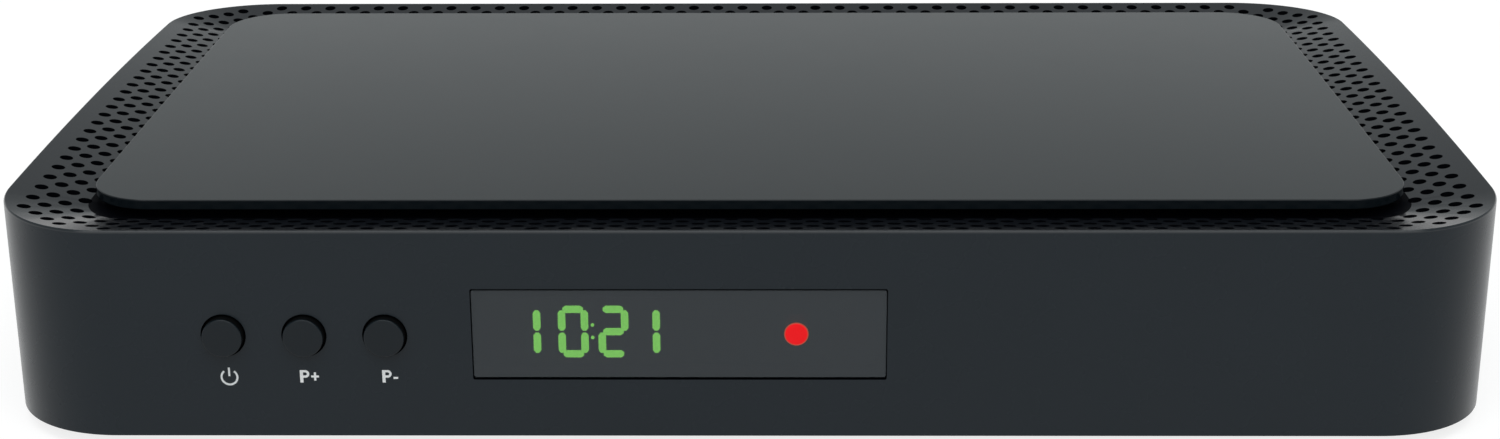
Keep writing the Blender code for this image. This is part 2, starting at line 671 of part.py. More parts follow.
def add_base(model):
    """The bottom tray: floor vents, foot pockets, standoffs, board guides and locating tabs."""
    base = add_mesh_object(model, "base", slab(BASE_INSET, 0.0, BASE_THICKNESS), model["base_plastic"])
    root_z = BASE_THICKNESS / 2

    uprights = bmesh.new()
    for x, y, _ in standoff_places():
        add_rod(uprights, STANDOFF_RADIUS, (x, y, root_z), (x, y, BASE_THICKNESS + STANDOFF_HEIGHT),
                SMALL_SIDES)
    slot_low = FRONT_BOARD_Y - GAP
    slot_high = FRONT_BOARD_BACK_Y + GAP
    middle = (slot_low + slot_high) / 2
    for edge, outward in ((FRONT_BOARD_LEFT, -1), (FRONT_BOARD_RIGHT, 1)):
        inner, outer = edge - outward * GUIDE_GRIP, edge + outward * (GUIDE_WIDTH - GUIDE_GRIP)
        add_block(uprights, (min(inner, outer), middle - GUIDE_DEPTH / 2, root_z),
                  (max(inner, outer), middle + GUIDE_DEPTH / 2, BASE_THICKNESS + GUIDE_HEIGHT))
    tab_top = BASE_THICKNESS + TAB_HEIGHT
    tab_inner = BASE_INSET + TAB_THICKNESS
    for side in (-1, 1):
        for y in (DEPTH / 4, DEPTH * 3 / 4):
            edges = sorted((side * (WIDTH / 2 - BASE_INSET), side * (WIDTH / 2 - tab_inner)))
            add_block(uprights, (edges[0], y - TAB_LENGTH / 2, root_z),
                      (edges[1], y + TAB_LENGTH / 2, tab_top))
        x = side * WIDTH / 4
        add_block(uprights, (x - TAB_LENGTH / 2, BASE_INSET, root_z),
                  (x + TAB_LENGTH / 2, tab_inner, tab_top))
    join(model, base, "base_uprights", uprights)

    cuts = bmesh.new()
    for x, y, _ in corner_places(BOSS_OFFSET):
        add_rod(cuts, SCREW_HOLE_RADIUS, (x, y, -OVERRUN), (x, y, BASE_THICKNESS + OVERRUN), SMALL_SIDES)
    for x, y, _ in standoff_places():
        top = BASE_THICKNESS + STANDOFF_HEIGHT
        add_rod(cuts, STANDOFF_PILOT_RADIUS, (x, y, top - STANDOFF_PILOT_DEPTH), (x, y, top + OVERRUN),
                SMALL_SIDES)
    for side in (-1, 1):
        for step in range(FLOOR_SLOT_COUNT):
            x = side * FLOOR_BANK_X + (step - (FLOOR_SLOT_COUNT - 1) / 2) * FLOOR_SLOT_PITCH
            add_block(cuts, (x - FLOOR_SLOT_WIDTH / 2, FLOOR_BANK_Y - FLOOR_SLOT_LENGTH / 2, -OVERRUN),
                      (x + FLOOR_SLOT_WIDTH / 2, FLOOR_BANK_Y + FLOOR_SLOT_LENGTH / 2,
                       BASE_THICKNESS + OVERRUN))
    add_block(cuts, (FRONT_BOARD_LEFT - GAP, slot_low, BASE_THICKNESS),
              (FRONT_BOARD_RIGHT + GAP, slot_high, BASE_THICKNESS + GUIDE_HEIGHT + OVERRUN))
    cut(model, base, "base_cuts", cuts)

    pockets = bmesh.new()
    for x, y, _ in corner_places(BOSS_OFFSET):
        add_rod(pockets, COUNTERBORE_RADIUS, (x, y, -OVERRUN), (x, y, COUNTERBORE_DEPTH), SMALL_SIDES)
    for x, y, _ in foot_places():
        add_rod(pockets, FOOT_RADIUS + GAP, (x, y, -OVERRUN), (x, y, FOOT_POCKET_DEPTH))
    cut(model, base, "base_pockets", pockets)
    return base


def add_feet(model):
    """Four rubber pads in the pockets of the base."""
    top = FOOT_POCKET_DEPTH - GAP
    profile = ((0, top), (FOOT_RADIUS, top), (FOOT_RADIUS, FOOT_CHAMFER - FOOT_DROP),
               (FOOT_RADIUS - FOOT_CHAMFER, -FOOT_DROP), (0, -FOOT_DROP))
    for x, y, corner in foot_places():
        turned(model, f"foot_{corner}", profile, (x, y, 0), model["foot_rubber"])


def add_screw(model, name, place, shank, head, height, length, upright):
    """A pan-head screw, its head seat at the given place."""
    profile = ((0, length), (shank, length), (shank, 0), (head, 0), (head, -height), (0, -height))
    if not upright:
        profile = tuple((radius, -along) for radius, along in reversed(profile))
    return turned(model, name, profile, place, model["screw_steel"], sides=SMALL_SIDES)


def add_housing_screws(model):
    """Four screws that rise through the base into the corner bosses."""
    for x, y, corner in corner_places(BOSS_OFFSET):
        add_screw(model, f"housing_screw_{corner}", (x, y, COUNTERBORE_DEPTH - GAP), SCREW_SHANK_RADIUS,
                  SCREW_HEAD_RADIUS, SCREW_HEAD_HEIGHT, SCREW_LENGTH, upright=True)


def add_board_screws(model):
    """Four screws that hold the main board down on its standoffs."""
    for x, y, corner in standoff_places():
        add_screw(model, f"board_screw_{corner}", (x, y, PART_SEAT_Z), BOARD_SCREW_SHANK_RADIUS,
                  BOARD_SCREW_HEAD_RADIUS, BOARD_SCREW_HEAD_HEIGHT, BOARD_SCREW_LENGTH, upright=False)


def add_display_window(model):
    """The smoked strip in the recess of the front wall, pierced for the standby lens."""
    half_width, half_height = WINDOW_RECESS_WIDTH / 2 - GAP, WINDOW_RECESS_HEIGHT / 2 - GAP
    low = (WINDOW_X - half_width, WINDOW_SET_BACK, WINDOW_Z - half_height)
    high = (WINDOW_X + half_width, WINDOW_SET_BACK + WINDOW_THICKNESS, WINDOW_Z + half_height)
    window = add_mesh_object(model, "display_window", block(low, high, WINDOW_CORNER_RADIUS, "Y", 1),
                             model["window_smoke"])
    hole = rod(LENS_RADIUS + GAP, (LED_X, -OVERRUN, WINDOW_Z), (LED_X, high[1] + OVERRUN, WINDOW_Z))
    cut(model, window, "lens_hole", hole)
    return window


def add_button(model, name, x):
    """A round cap with a flange behind the wall and a stem, its origin on the axis at the front face."""
    face, edge = BUTTON_PROUD, BUTTON_RADIUS - BUTTON_ROUNDING
    stem_end = STEM_Y + BUTTON_STEM_LENGTH
    profile = ((0, face), (edge, face), (BUTTON_RADIUS, face - BUTTON_ROUNDING), (BUTTON_RADIUS, -FLANGE_Y),
               (BUTTON_FLANGE_RADIUS, -FLANGE_Y), (BUTTON_FLANGE_RADIUS, -STEM_Y),
               (BUTTON_STEM_RADIUS, -STEM_Y), (BUTTON_STEM_RADIUS, -stem_end), (0, -stem_end))
    return turned(model, name, profile, (x, 0, BUTTON_Z), model["button_plastic"], facing="-Y")


def add_plunger(model, name, x):
    """The pin of a tactile switch, which the stem of the button presses."""
    profile = ((0, 0), (PLUNGER_RADIUS, 0), (PLUNGER_RADIUS, -PLUNGER_LENGTH), (0, -PLUNGER_LENGTH))
    return turned(model, name, profile, (x, PLUNGER_Y, BUTTON_Z), model["plunger_plastic"],
                  sides=SMALL_SIDES, facing="-Y")


def add_switch(model, name, x):
    """The square body of a tactile switch, bored for its plunger."""
    half = SWITCH_WIDTH / 2
    bm = block((x - half, SWITCH_Y, BUTTON_Z - half), (x + half, SWITCH_BACK_Y, BUTTON_Z + half))
    body = add_mesh_object(model, name, bm, model["switch_body"])
    bottom = PLUNGER_Y + PLUNGER_LENGTH + BUTTON_TRAVEL + PLUNGER_RUN_OUT
    cut(model, body, f"{name}_bore", rod(PLUNGER_HOLE_RADIUS, (x, SWITCH_Y - OVERRUN, BUTTON_Z),
                                         (x, bottom, BUTTON_Z), SMALL_SIDES))
    return body


def add_keys(model):
    """The three buttons with their switches."""
    for key, x in zip(("power", "channel_up", "channel_down"), BUTTON_XS):
        add_button(model, f"{key}_button", x)
        add_plunger(model, f"{key}_plunger", x)
        add_switch(model, f"{key}_switch", x)


def add_front_board(model):
    """The upright board behind the front wall."""
    low = (FRONT_BOARD_LEFT, FRONT_BOARD_Y, FRONT_BOARD_LOW)
    high = (FRONT_BOARD_RIGHT, FRONT_BOARD_BACK_Y, FRONT_BOARD_TOP)
    return add_mesh_object(model, "front_board", block(low, high), model["board_laminate"])


def add_display_module(model):
    """The block of the four digit display, which looks through the hole behind the window."""
    front = WINDOW_SET_BACK + WINDOW_THICKNESS + GAP
    low = (DISPLAY_X - DISPLAY_WIDTH / 2, front, WINDOW_Z - DISPLAY_HEIGHT / 2)
    high = (DISPLAY_X + DISPLAY_WIDTH / 2, SWITCH_BACK_Y, WINDOW_Z + DISPLAY_HEIGHT / 2)
    return add_mesh_object(model, "display_module", block(low, high), model["display_body"])


def add_standby_light(model):
    """The red lens in the window and the light emitting diode behind it."""
    face = -WINDOW_SET_BACK
    flange = -(WINDOW_SET_BACK + WINDOW_THICKNESS + GAP)
    pipe = flange - LENS_FLANGE_THICKNESS
    end = pipe - LENS_PIPE_LENGTH
    profile = ((0, face), (LENS_RADIUS, face), (LENS_RADIUS, flange), (LENS_FLANGE_RADIUS, flange),
               (LENS_FLANGE_RADIUS, pipe), (LENS_PIPE_RADIUS, pipe), (LENS_PIPE_RADIUS, end), (0, end))
    turned(model, "standby_lens", profile, (LED_X, 0, WINDOW_Z), model["standby_red"], sides=SMALL_SIDES,
           facing="-Y")
    tip = end - GAP
    shoulder = tip - LED_RADIUS
    foot = -SWITCH_BACK_Y
    rim = foot + LED_FLANGE_THICKNESS
    dome = [(LED_RADIUS * math.sin(step * math.pi / 6), shoulder + LED_RADIUS * math.cos(step * math.pi / 6))
            for step in range(1, 3)]
    profile = ((0, tip), *dome, (LED_RADIUS, shoulder), (LED_RADIUS, rim), (LED_FLANGE_RADIUS, rim),
               (LED_FLANGE_RADIUS, foot), (0, foot))
    turned(model, "standby_led", profile, (LED_X, 0, WINDOW_Z), model["led_epoxy"], sides=SMALL_SIDES,
           facing="-Y")


def add_infrared_receiver(model):
    """The remote control sensor: a block with a dome towards the window."""
    front = SWITCH_BACK_Y - IR_BODY_DEPTH
    low = (IR_X - IR_WIDTH / 2, front, WINDOW_Z - IR_HEIGHT / 2)
    high = (IR_X + IR_WIDTH / 2, SWITCH_BACK_Y, WINDOW_Z + IR_HEIGHT / 2)
    sensor = add_mesh_object(model, "infrared_receiver", block(low, high), model["sensor_epoxy"])
    dome = bmesh.new()
    bmesh.ops.create_uvsphere(dome, u_segments=SMALL_SIDES, v_segments=SMALL_SIDES // 2,
                              radius=IR_DOME_RADIUS, matrix=Matrix.Translation((IR_X, front, WINDOW_Z)))
    join(model, sensor, "sensor_dome", dome)
    return sensor


def add_main_board(model):
    """The main board, drilled for its screws."""
    low = (-BOARD_HALF, BOARD_FRONT_Y, BOARD_SEAT_Z)
    high = (BOARD_HALF, BOARD_REAR_Y, BOARD_TOP_Z)
    board = add_mesh_object(model, "main_board", block(low, high), model["board_laminate"])
    holes = bmesh.new()
    for x, y, _ in standoff_places():
        add_rod(holes, BOARD_HOLE_RADIUS, (x, y, BOARD_SEAT_Z - OVERRUN), (x, y, BOARD_TOP_Z + OVERRUN),
                SMALL_SIDES)
    cut(model, board, "board_holes", holes)
    return board


def socket_block(x, width, height, depth):
    """The box of a socket that stands on the main board with its face just past the rear panel."""
    low = (x - width / 2, SOCKET_FACE_Y - depth, PART_SEAT_Z)
    high = (x + width / 2, SOCKET_FACE_Y, PART_SEAT_Z + height)
    return low, high


def add_shell_socket(model, name, x, width, height, depth, material):
    """A folded metal socket with an open mouth and a tongue inside."""
    low, high = socket_block(x, width, height, depth)
    shell = add_mesh_object(model, name, block(low, high), material)
    mouth = block((low[0] + SHELL_SHEET, low[1] + SHELL_SHEET, low[2] + SHELL_SHEET),
                  (high[0] - SHELL_SHEET, high[1] + OVERRUN, high[2] - SHELL_SHEET))
    cut(model, shell, f"{name}_mouth", mouth)
    middle = (low[2] + high[2]) / 2
    side_room = SHELL_SHEET + TONGUE_SIDE_ROOM
    tongue = block((low[0] + side_room, low[1] + SHELL_SHEET / 2, middle - TONGUE_THICKNESS / 2),
                   (high[0] - side_room, high[1] - TONGUE_SET_BACK, middle + TONGUE_THICKNESS / 2))
    join(model, shell, f"{name}_tongue", tongue)
    return shell


def add_network_socket(model):
    """The network socket with its stepped mouth for the latch."""
    low, high = socket_block(NETWORK_X, NETWORK_WIDTH, NETWORK_HEIGHT, NETWORK_DEPTH)
    socket = add_mesh_object(model, "network_socket", block(low, high), model["socket_metal"])
    floor = low[2] + NETWORK_CAVITY_LOW
    ceiling = floor + NETWORK_CAVITY_HEIGHT
    inner = high[1] - NETWORK_CAVITY_DEPTH
    half = NETWORK_CAVITY_WIDTH / 2
    cut(model, socket, "network_cavity", block((NETWORK_X - half, inner, floor),
                                               (NETWORK_X + half, high[1] + OVERRUN, ceiling)))
    half = NETWORK_LATCH_WIDTH / 2
    latch_top = ceiling + NETWORK_LATCH_HEIGHT
    cut(model, socket, "network_latch", block((NETWORK_X - half, inner, ceiling - GAP),
                                              (NETWORK_X + half, high[1] + OVERRUN, latch_top)))
    return socket


def add_audio_socket(model):
    """The coaxial digital audio socket: a block with a round barrel past the panel."""
    low, high = socket_block(AUDIO_X, AUDIO_WIDTH, AUDIO_HEIGHT, AUDIO_DEPTH)
    back = REAR_PANEL_INNER_Y - GAP
    socket = add_mesh_object(model, "digital_audio_socket", block(low, (high[0], back, high[2])),
                             model["socket_plastic"])
    tip = REAR_PANEL_OUTER_Y + AUDIO_BARREL_REACH
    root = back - AUDIO_BARREL_RADIUS
    join(model, socket, "audio_barrel", rod(AUDIO_BARREL_RADIUS, (AUDIO_X, root, AUDIO_AXIS_Z),
                                            (AUDIO_X, tip, AUDIO_AXIS_Z)))
    cut(model, socket, "audio_bore", rod(AUDIO_BORE_RADIUS, (AUDIO_X, tip - AUDIO_BORE_DEPTH, AUDIO_AXIS_Z),
                                         (AUDIO_X, tip + OVERRUN, AUDIO_AXIS_Z), SMALL_SIDES))
    return socket


def add_jack(model):
    """The small round jack for analogue sound and picture."""
    low, high = socket_block(JACK_X, JACK_WIDTH, JACK_HEIGHT, JACK_DEPTH)
    back = REAR_PANEL_INNER_Y - GAP
    jack = add_mesh_object(model, "av_jack", block(low, (high[0], back, high[2])), model["socket_plastic"])
    tip = REAR_PANEL_OUTER_Y + JACK_COLLAR_REACH
    root = back - JACK_COLLAR_RADIUS
    join(model, jack, "jack_collar", rod(JACK_COLLAR_RADIUS, (JACK_X, root, JACK_AXIS_Z),
                                         (JACK_X, tip, JACK_AXIS_Z)))
    cut(model, jack, "jack_bore", rod(JACK_BORE_RADIUS, (JACK_X, tip - JACK_BORE_DEPTH, JACK_AXIS_Z),
                                      (JACK_X, tip + OVERRUN, JACK_AXIS_Z), SMALL_SIDES))
    return jack


def add_power_socket(model):
    """The direct current inlet: a bored block with a pin in the middle of its bore."""
    low, high = socket_block(POWER_X, POWER_WIDTH, POWER_HEIGHT, POWER_DEPTH)
    socket = add_mesh_object(model, "power_socket", block(low, high), model["socket_plastic"])
    bottom = high[1] - POWER_BORE_DEPTH
    cut(model, socket, "power_bore", rod(POWER_BORE_RADIUS, (POWER_X, bottom, POWER_AXIS_Z),
                                         (POWER_X, high[1] + OVERRUN, POWER_AXIS_Z)))
    root = bottom - POWER_PIN_RADIUS
    join(model, socket, "power_pin", rod(POWER_PIN_RADIUS, (POWER_X, root, POWER_AXIS_Z),
                                         (POWER_X, high[1] - POWER_PIN_SET_BACK, POWER_AXIS_Z), SMALL_SIDES))
    return socket


def add_tuner(model):
    """The shielded box of the tuner, with the raised middle of its lid."""
    low = (TUNER_X - TUNER_WIDTH / 2, TUNER_BACK_Y - TUNER_DEPTH, PART_SEAT_Z)
    high = (TUNER_X + TUNER_WIDTH / 2, TUNER_BACK_Y, PART_SEAT_Z + TUNER_HEIGHT)
    bm = block(low, high)
    lid = [face for face in bm.faces if face.normal.z > math.cos(SHARP_ANGLE)]
    bmesh.ops.inset_region(bm, faces=lid, thickness=2 * TUNER_LID_STEP, depth=0.0)
    bmesh.ops.inset_region(bm, faces=lid, thickness=TUNER_LID_STEP, depth=TUNER_LID_STEP)
    return add_mesh_object(model, "tuner_can", bm, model["tin_plate"])


def add_aerial_socket(model, name, x):
    """A threaded aerial socket: a flange inside the panel and a barrel with a contact hole."""
    end = AERIAL_FLANGE_THICKNESS + AERIAL_BARREL_LENGTH
    mouth = end - AERIAL_MOUTH_DEPTH
    profile = ((0, mouth - AERIAL_CONTACT_DEPTH), (AERIAL_CONTACT_RADIUS, mouth - AERIAL_CONTACT_DEPTH),
               (AERIAL_CONTACT_RADIUS, mouth), (AERIAL_MOUTH_RADIUS, mouth), (AERIAL_MOUTH_RADIUS, end),
               (AERIAL_BARREL_RADIUS, end), (AERIAL_BARREL_RADIUS, AERIAL_FLANGE_THICKNESS),
               (AERIAL_FLANGE_RADIUS, AERIAL_FLANGE_THICKNESS), (AERIAL_FLANGE_RADIUS, 0), (0, 0))
    return turned(model, name, profile, (x, AERIAL_FLANGE_Y, AERIAL_AXIS_Z), model["connector_nickel"],
                  facing="Y")


def add_aerial_nut(model, name, x):
    """The hexagon nut that draws an aerial socket against the rear panel."""
    near = REAR_PANEL_OUTER_Y + GAP
    far = near + NUT_THICKNESS
    radius = NUT_ACROSS_FLATS / math.sqrt(3)
    nut = add_mesh_object(model, name, rod(radius, (x, near, AERIAL_AXIS_Z), (x, far, AERIAL_AXIS_Z), 6),
                          model["connector_nickel"])
    cut(model, nut, f"{name}_bore", rod(AERIAL_BARREL_RADIUS + GAP, (x, near - OVERRUN, AERIAL_AXIS_Z),
                                        (x, far + OVERRUN, AERIAL_AXIS_Z)))
    return nut


def add_rear_panel(model):
    """The sheet behind the rear opening, with a cut-out round each socket."""
    low = (-REAR_PANEL_HALF, REAR_PANEL_INNER_Y, REAR_PANEL_LOW)
    high = (REAR_PANEL_HALF, REAR_PANEL_OUTER_Y, REAR_PANEL_TOP)
    panel = add_mesh_object(model, "rear_panel", block(low, high), model["panel_steel"])
    cuts = bmesh.new()
    near, far = REAR_PANEL_INNER_Y - OVERRUN, REAR_PANEL_OUTER_Y + OVERRUN
    for x, width, height in ((HDMI_X, HDMI_WIDTH, HDMI_HEIGHT), (USB_X, USB_WIDTH, USB_HEIGHT),
                             (NETWORK_X, NETWORK_WIDTH, NETWORK_HEIGHT),
                             (POWER_X, POWER_WIDTH, POWER_HEIGHT)):
        add_block(cuts, (x - width / 2 - GAP, near, PART_SEAT_Z - GAP),
                  (x + width / 2 + GAP, far, PART_SEAT_Z + height + GAP))
    for x, z, radius in ((AUDIO_X, AUDIO_AXIS_Z, AUDIO_BARREL_RADIUS),
                         (JACK_X, JACK_AXIS_Z, JACK_COLLAR_RADIUS),
                         (TUNER_X - AERIAL_OFFSET, AERIAL_AXIS_Z, AERIAL_BARREL_RADIUS),
                         (TUNER_X + AERIAL_OFFSET, AERIAL_AXIS_Z, AERIAL_BARREL_RADIUS)):
        add_rod(cuts, radius + GAP, (x, near, z), (x, far, z))
    cut(model, panel, "panel_cuts", cuts)
    return panel


def add_package(model, name, x, y, width, depth, height, material):
    """A bevelled electronic part on the main board."""
    low = (x - width / 2, y - depth / 2, PART_SEAT_Z)
    high = (x + width / 2, y + depth / 2, PART_SEAT_Z + height)
    return add_mesh_object(model, name, soft_block(low, high, PACKAGE_BEVEL), material)


def add_heat_sink(model):
    """The finned block on the decoder chip."""
    half = SINK_SIDE / 2
    low_z = PART_SEAT_Z + CHIP_THICKNESS + GAP
    top_z = low_z + SINK_HEIGHT
    bm = block((CHIP_X - half, CHIP_Y - half, low_z), (CHIP_X + half, CHIP_Y + half, top_z))
    sink = add_mesh_object(model, "heat_sink", bm, model["sink_aluminium"])
    pitch = (SINK_SIDE - SINK_FIN_THICKNESS) / (SINK_FIN_COUNT - 1)
    slots = bmesh.new()
    for fin in range(SINK_FIN_COUNT - 1):
        start = CHIP_X - half + fin * pitch + SINK_FIN_THICKNESS
        add_block(slots, (start, CHIP_Y - half - OVERRUN, low_z + SINK_BASE),
                  (start + pitch - SINK_FIN_THICKNESS, CHIP_Y + half + OVERRUN, top_z + OVERRUN))
    cut(model, sink, "sink_slots", slots)
    return sink


def add_capacitors(model):
    """Upright electrolytic capacitors, each with the groove that crimps its can."""
    top = CAPACITOR_HEIGHT
    neck = CAPACITOR_RADIUS - CAPACITOR_GROOVE
    profile = ((0, top), (CAPACITOR_RADIUS - CAPACITOR_CHAMFER, top),
               (CAPACITOR_RADIUS, top - CAPACITOR_CHAMFER),
               (CAPACITOR_RADIUS, CAPACITOR_GROOVE_HEIGHT + CAPACITOR_GROOVE),
               (neck, CAPACITOR_GROOVE_HEIGHT),
               (CAPACITOR_RADIUS, CAPACITOR_GROOVE_HEIGHT - CAPACITOR_GROOVE),
               (CAPACITOR_RADIUS, 0), (0, 0))
    for number, (share, inset) in enumerate(zip(CAPACITOR_X_SHARES, CAPACITOR_REAR_INSETS), start=1):
        place = (WIDTH * share, BOARD_REAR_Y - inset, PART_SEAT_Z)
        turned(model, f"capacitor_{number}", profile, place, model["capacitor_sleeve"], sides=SMALL_SIDES)


def add_board_parts(model):
    """Chips, inductor and heat sink of the main board."""
    add_package(model, "decoder_chip", CHIP_X, CHIP_Y, CHIP_SIDE, CHIP_SIDE,
                CHIP_THICKNESS, model["chip_epoxy"])
    add_package(model, "memory_chip", CHIP_X + MEMORY_OFFSET, CHIP_Y, MEMORY_WIDTH, MEMORY_DEPTH,
                MEMORY_THICKNESS, model["chip_epoxy"])
    add_package(model, "flash_chip", CHIP_X + FLASH_OFFSET, CHIP_Y, FLASH_WIDTH, FLASH_DEPTH,
                FLASH_THICKNESS, model["chip_epoxy"])
    add_package(model, "power_inductor", INDUCTOR_X, BOARD_REAR_Y - INDUCTOR_REAR_INSET, INDUCTOR_SIDE,
                INDUCTOR_SIDE, INDUCTOR_HEIGHT, model["ferrite"])
    add_heat_sink(model)
    add_capacitors(model)


def add_flat_cable(model):
    """The ribbon between the boards and the two sockets that hold its ends."""
    half = CABLE_SOCKET_WIDTH / 2
    front_low = FRONT_BOARD_BACK_Y + GAP
    front_high = front_low + CABLE_SOCKET_HEIGHT
    add_mesh_object(model, "front_cable_socket",
                    block((CABLE_X - half, front_low, FRONT_CABLE_Z - CABLE_SOCKET_DEPTH / 2),
                          (CABLE_X + half, front_high, FRONT_CABLE_Z + CABLE_SOCKET_DEPTH / 2)),
                    model["socket_nylon"])
    main_low = BOARD_FRONT_Y + MAIN_CABLE_SOCKET_INSET
    add_mesh_object(model, "main_cable_socket",
                    block((CABLE_X - half, main_low, PART_SEAT_Z),
                          (CABLE_X + half, main_low + CABLE_SOCKET_DEPTH,
                           PART_SEAT_Z + CABLE_SOCKET_HEIGHT)),
                    model["socket_nylon"])
    start = Vector((CABLE_X, front_high + GAP, FRONT_CABLE_Z))
    end = Vector((CABLE_X, main_low - GAP, PART_SEAT_Z + CABLE_SOCKET_HEIGHT / 2))
    bm = bmesh.new()
    edges = []
    for step in range(CABLE_STEPS + 1):
        share = step / CABLE_STEPS
        ease = (1 - math.cos(share * math.pi)) / 2
        y = start.y + (end.y - start.y) * share
        z = start.z + (end.z - start.z) * ease + CABLE_HUMP * (1 - math.cos(2 * share * math.pi)) / 2
        edges.append([bm.verts.new((CABLE_X + side * CABLE_WIDTH / 2, y, z)) for side in (-1, 1)])
    for near, far in zip(edges, edges[1:]):
        bm.faces.new((near[0], near[1], far[1], far[0]))
    cable = add_mesh_object(model, "flat_cable", bm, model["cable_film"])
    thicken = cable.modifiers.new("thickness", "SOLIDIFY")
    thicken.thickness = CABLE_THICKNESS
    thicken.offset = 0.0
    return cable


def add_materials(model):
    """The colours and finishes of all the pieces."""
    model["housing_plastic"] = plain_material("housing_plastic", (0.024, 0.028, 0.032), 0.42)
    model["vent_plastic"] = plain_material("vent_plastic", (0.022, 0.026, 0.029), 0.45)
    model["plate_plastic"] = plain_material("plate_plastic", (0.030, 0.034, 0.036), 0.35)
    model["base_plastic"] = plain_material("base_plastic", (0.018, 0.020, 0.022), 0.60)
    model["foot_rubber"] = plain_material("foot_rubber", (0.012, 0.012, 0.013), 0.85)
    model["screw_steel"] = plain_material("screw_steel", (0.10, 0.10, 0.11), 0.40, 1.0)
    model["window_smoke"] = plain_material("window_smoke", (0.045, 0.050, 0.055), 0.12)
    model["button_plastic"] = plain_material("button_plastic", (0.020, 0.024, 0.027), 0.45)
    model["plunger_plastic"] = plain_material("plunger_plastic", (0.50, 0.10, 0.06), 0.50)
    model["switch_body"] = plain_material("switch_body", (0.05, 0.05, 0.05), 0.55)
    model["board_laminate"] = plain_material("board_laminate", (0.02, 0.10, 0.05), 0.50)
    model["display_body"] = plain_material("display_body", (0.02, 0.02, 0.02), 0.50)
    model["standby_red"] = plain_material("standby_red", (0.75, 0.02, 0.02), 0.30)
    model["led_epoxy"] = plain_material("led_epoxy", (0.60, 0.05, 0.04), 0.25)
    model["sensor_epoxy"] = plain_material("sensor_epoxy", (0.03, 0.02, 0.03), 0.25)
    model["socket_metal"] = plain_material("socket_metal", (0.62, 0.62, 0.60), 0.35, 1.0)
    model["socket_plastic"] = plain_material("socket_plastic", (0.02, 0.02, 0.02), 0.50)
    model["socket_nylon"] = plain_material("socket_nylon", (0.75, 0.72, 0.62), 0.55)
    model["tin_plate"] = plain_material("tin_plate", (0.70, 0.70, 0.68), 0.30, 1.0)
    model["connector_nickel"] = plain_material("connector_nickel", (0.72, 0.70, 0.66), 0.22, 1.0)
    model["panel_steel"] = plain_material("panel_steel", (0.025, 0.027, 0.030), 0.50, 0.2)
    model["chip_epoxy"] = plain_material("chip_epoxy", (0.025, 0.025, 0.027), 0.60)
    model["sink_aluminium"] = plain_material("sink_aluminium", (0.55, 0.56, 0.58), 0.40, 1.0)
    model["capacitor_sleeve"] = plain_material("capacitor_sleeve", (0.03, 0.04, 0.10), 0.35)
    model["ferrite"] = plain_material("ferrite", (0.07, 0.07, 0.07), 0.70)
    model["cable_film"] = plain_material("cable_film", (0.80, 0.80, 0.78), 0.40)


def build():
    """Model every piece of the receiver."""
    clear_scene()
    model = {"parts": new_collection("satellite_receiver"), "cutters": new_collection("cutters")}
    frame = bpy.data.objects.new("housing_frame", None)
    frame.location = (0, WORLD_Y, WORLD_Z)
    model["parts"].objects.link(frame)
    model["frame"] = frame
    add_materials(model)
    add_upper_housing(model)
    add_vent_panel(model)
    add_top_plate(model)
    add_base(model)
    add_feet(model)
    add_housing_screws(model)
    add_display_window(model)
    add_keys(model)
    add_front_board(model)
    add_display_module(model)
    add_standby_light(model)
    add_infrared_receiver(model)
    add_main_board(model)
    add_board_screws(model)
    add_board_parts(model)
    add_flat_cable(model)
    add_shell_socket(model, "hdmi_socket", HDMI_X, HDMI_WIDTH, HDMI_HEIGHT, HDMI_DEPTH,
                     model["socket_metal"])
    add_shell_socket(model, "usb_socket", USB_X, USB_WIDTH, USB_HEIGHT, USB_DEPTH, model["socket_metal"])
    add_network_socket(model)
    add_audio_socket(model)
    add_jack(model)
    add_power_socket(model)
    add_tuner(model)
    for name, x in (("aerial_input", TUNER_X + AERIAL_OFFSET), ("aerial_loop", TUNER_X - AERIAL_OFFSET)):
        add_aerial_socket(model, f"{name}_socket", x)
        add_aerial_nut(model, f"{name}_nut", x)
    add_rear_panel(model)


if __name__ == "__main__":
    build()
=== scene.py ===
"""Satellite TV receiver, dressed for rendering.

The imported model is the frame. Pieces that show are modelled again with rounder forms, the full pattern of
vent holes and their small parts, and each rides on the body of the node that it stands for. Lengths are in
metres.
"""

import json
import math

import bmesh
import bpy
from mathutils import Matrix, Vector


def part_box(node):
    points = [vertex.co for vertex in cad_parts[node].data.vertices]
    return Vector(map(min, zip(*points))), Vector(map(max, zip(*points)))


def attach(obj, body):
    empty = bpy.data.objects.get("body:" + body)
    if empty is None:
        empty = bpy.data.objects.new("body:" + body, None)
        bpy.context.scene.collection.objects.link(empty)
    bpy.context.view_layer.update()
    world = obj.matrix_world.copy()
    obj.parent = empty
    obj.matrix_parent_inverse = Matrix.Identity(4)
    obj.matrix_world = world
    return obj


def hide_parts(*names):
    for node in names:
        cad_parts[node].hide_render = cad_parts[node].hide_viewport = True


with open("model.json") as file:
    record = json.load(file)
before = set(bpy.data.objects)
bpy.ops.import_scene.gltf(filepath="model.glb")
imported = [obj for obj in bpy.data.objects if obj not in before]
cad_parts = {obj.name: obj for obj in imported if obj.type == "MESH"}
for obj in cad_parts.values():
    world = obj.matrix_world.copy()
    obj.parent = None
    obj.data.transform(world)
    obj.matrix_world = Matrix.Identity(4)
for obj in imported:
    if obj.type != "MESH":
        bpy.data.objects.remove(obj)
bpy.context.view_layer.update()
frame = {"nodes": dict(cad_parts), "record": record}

# Sizes that many pieces share. A cutter overruns what it cuts, and a support ring holds an edge's shading
WALL = 0.0024
SHEET = 0.0015
GAP = 0.0003
OVERRUN = 0.002
SUPPORT = 0.00025
WELD_REACH = 0.000001
ROUND = 48
SHARP = math.radians(32)
TURNS = {"up": Matrix.Identity(4), "front": Matrix.Rotation(math.pi / 2, 4, "X"),
         "rear": Matrix.Rotation(-math.pi / 2, 4, "X")}

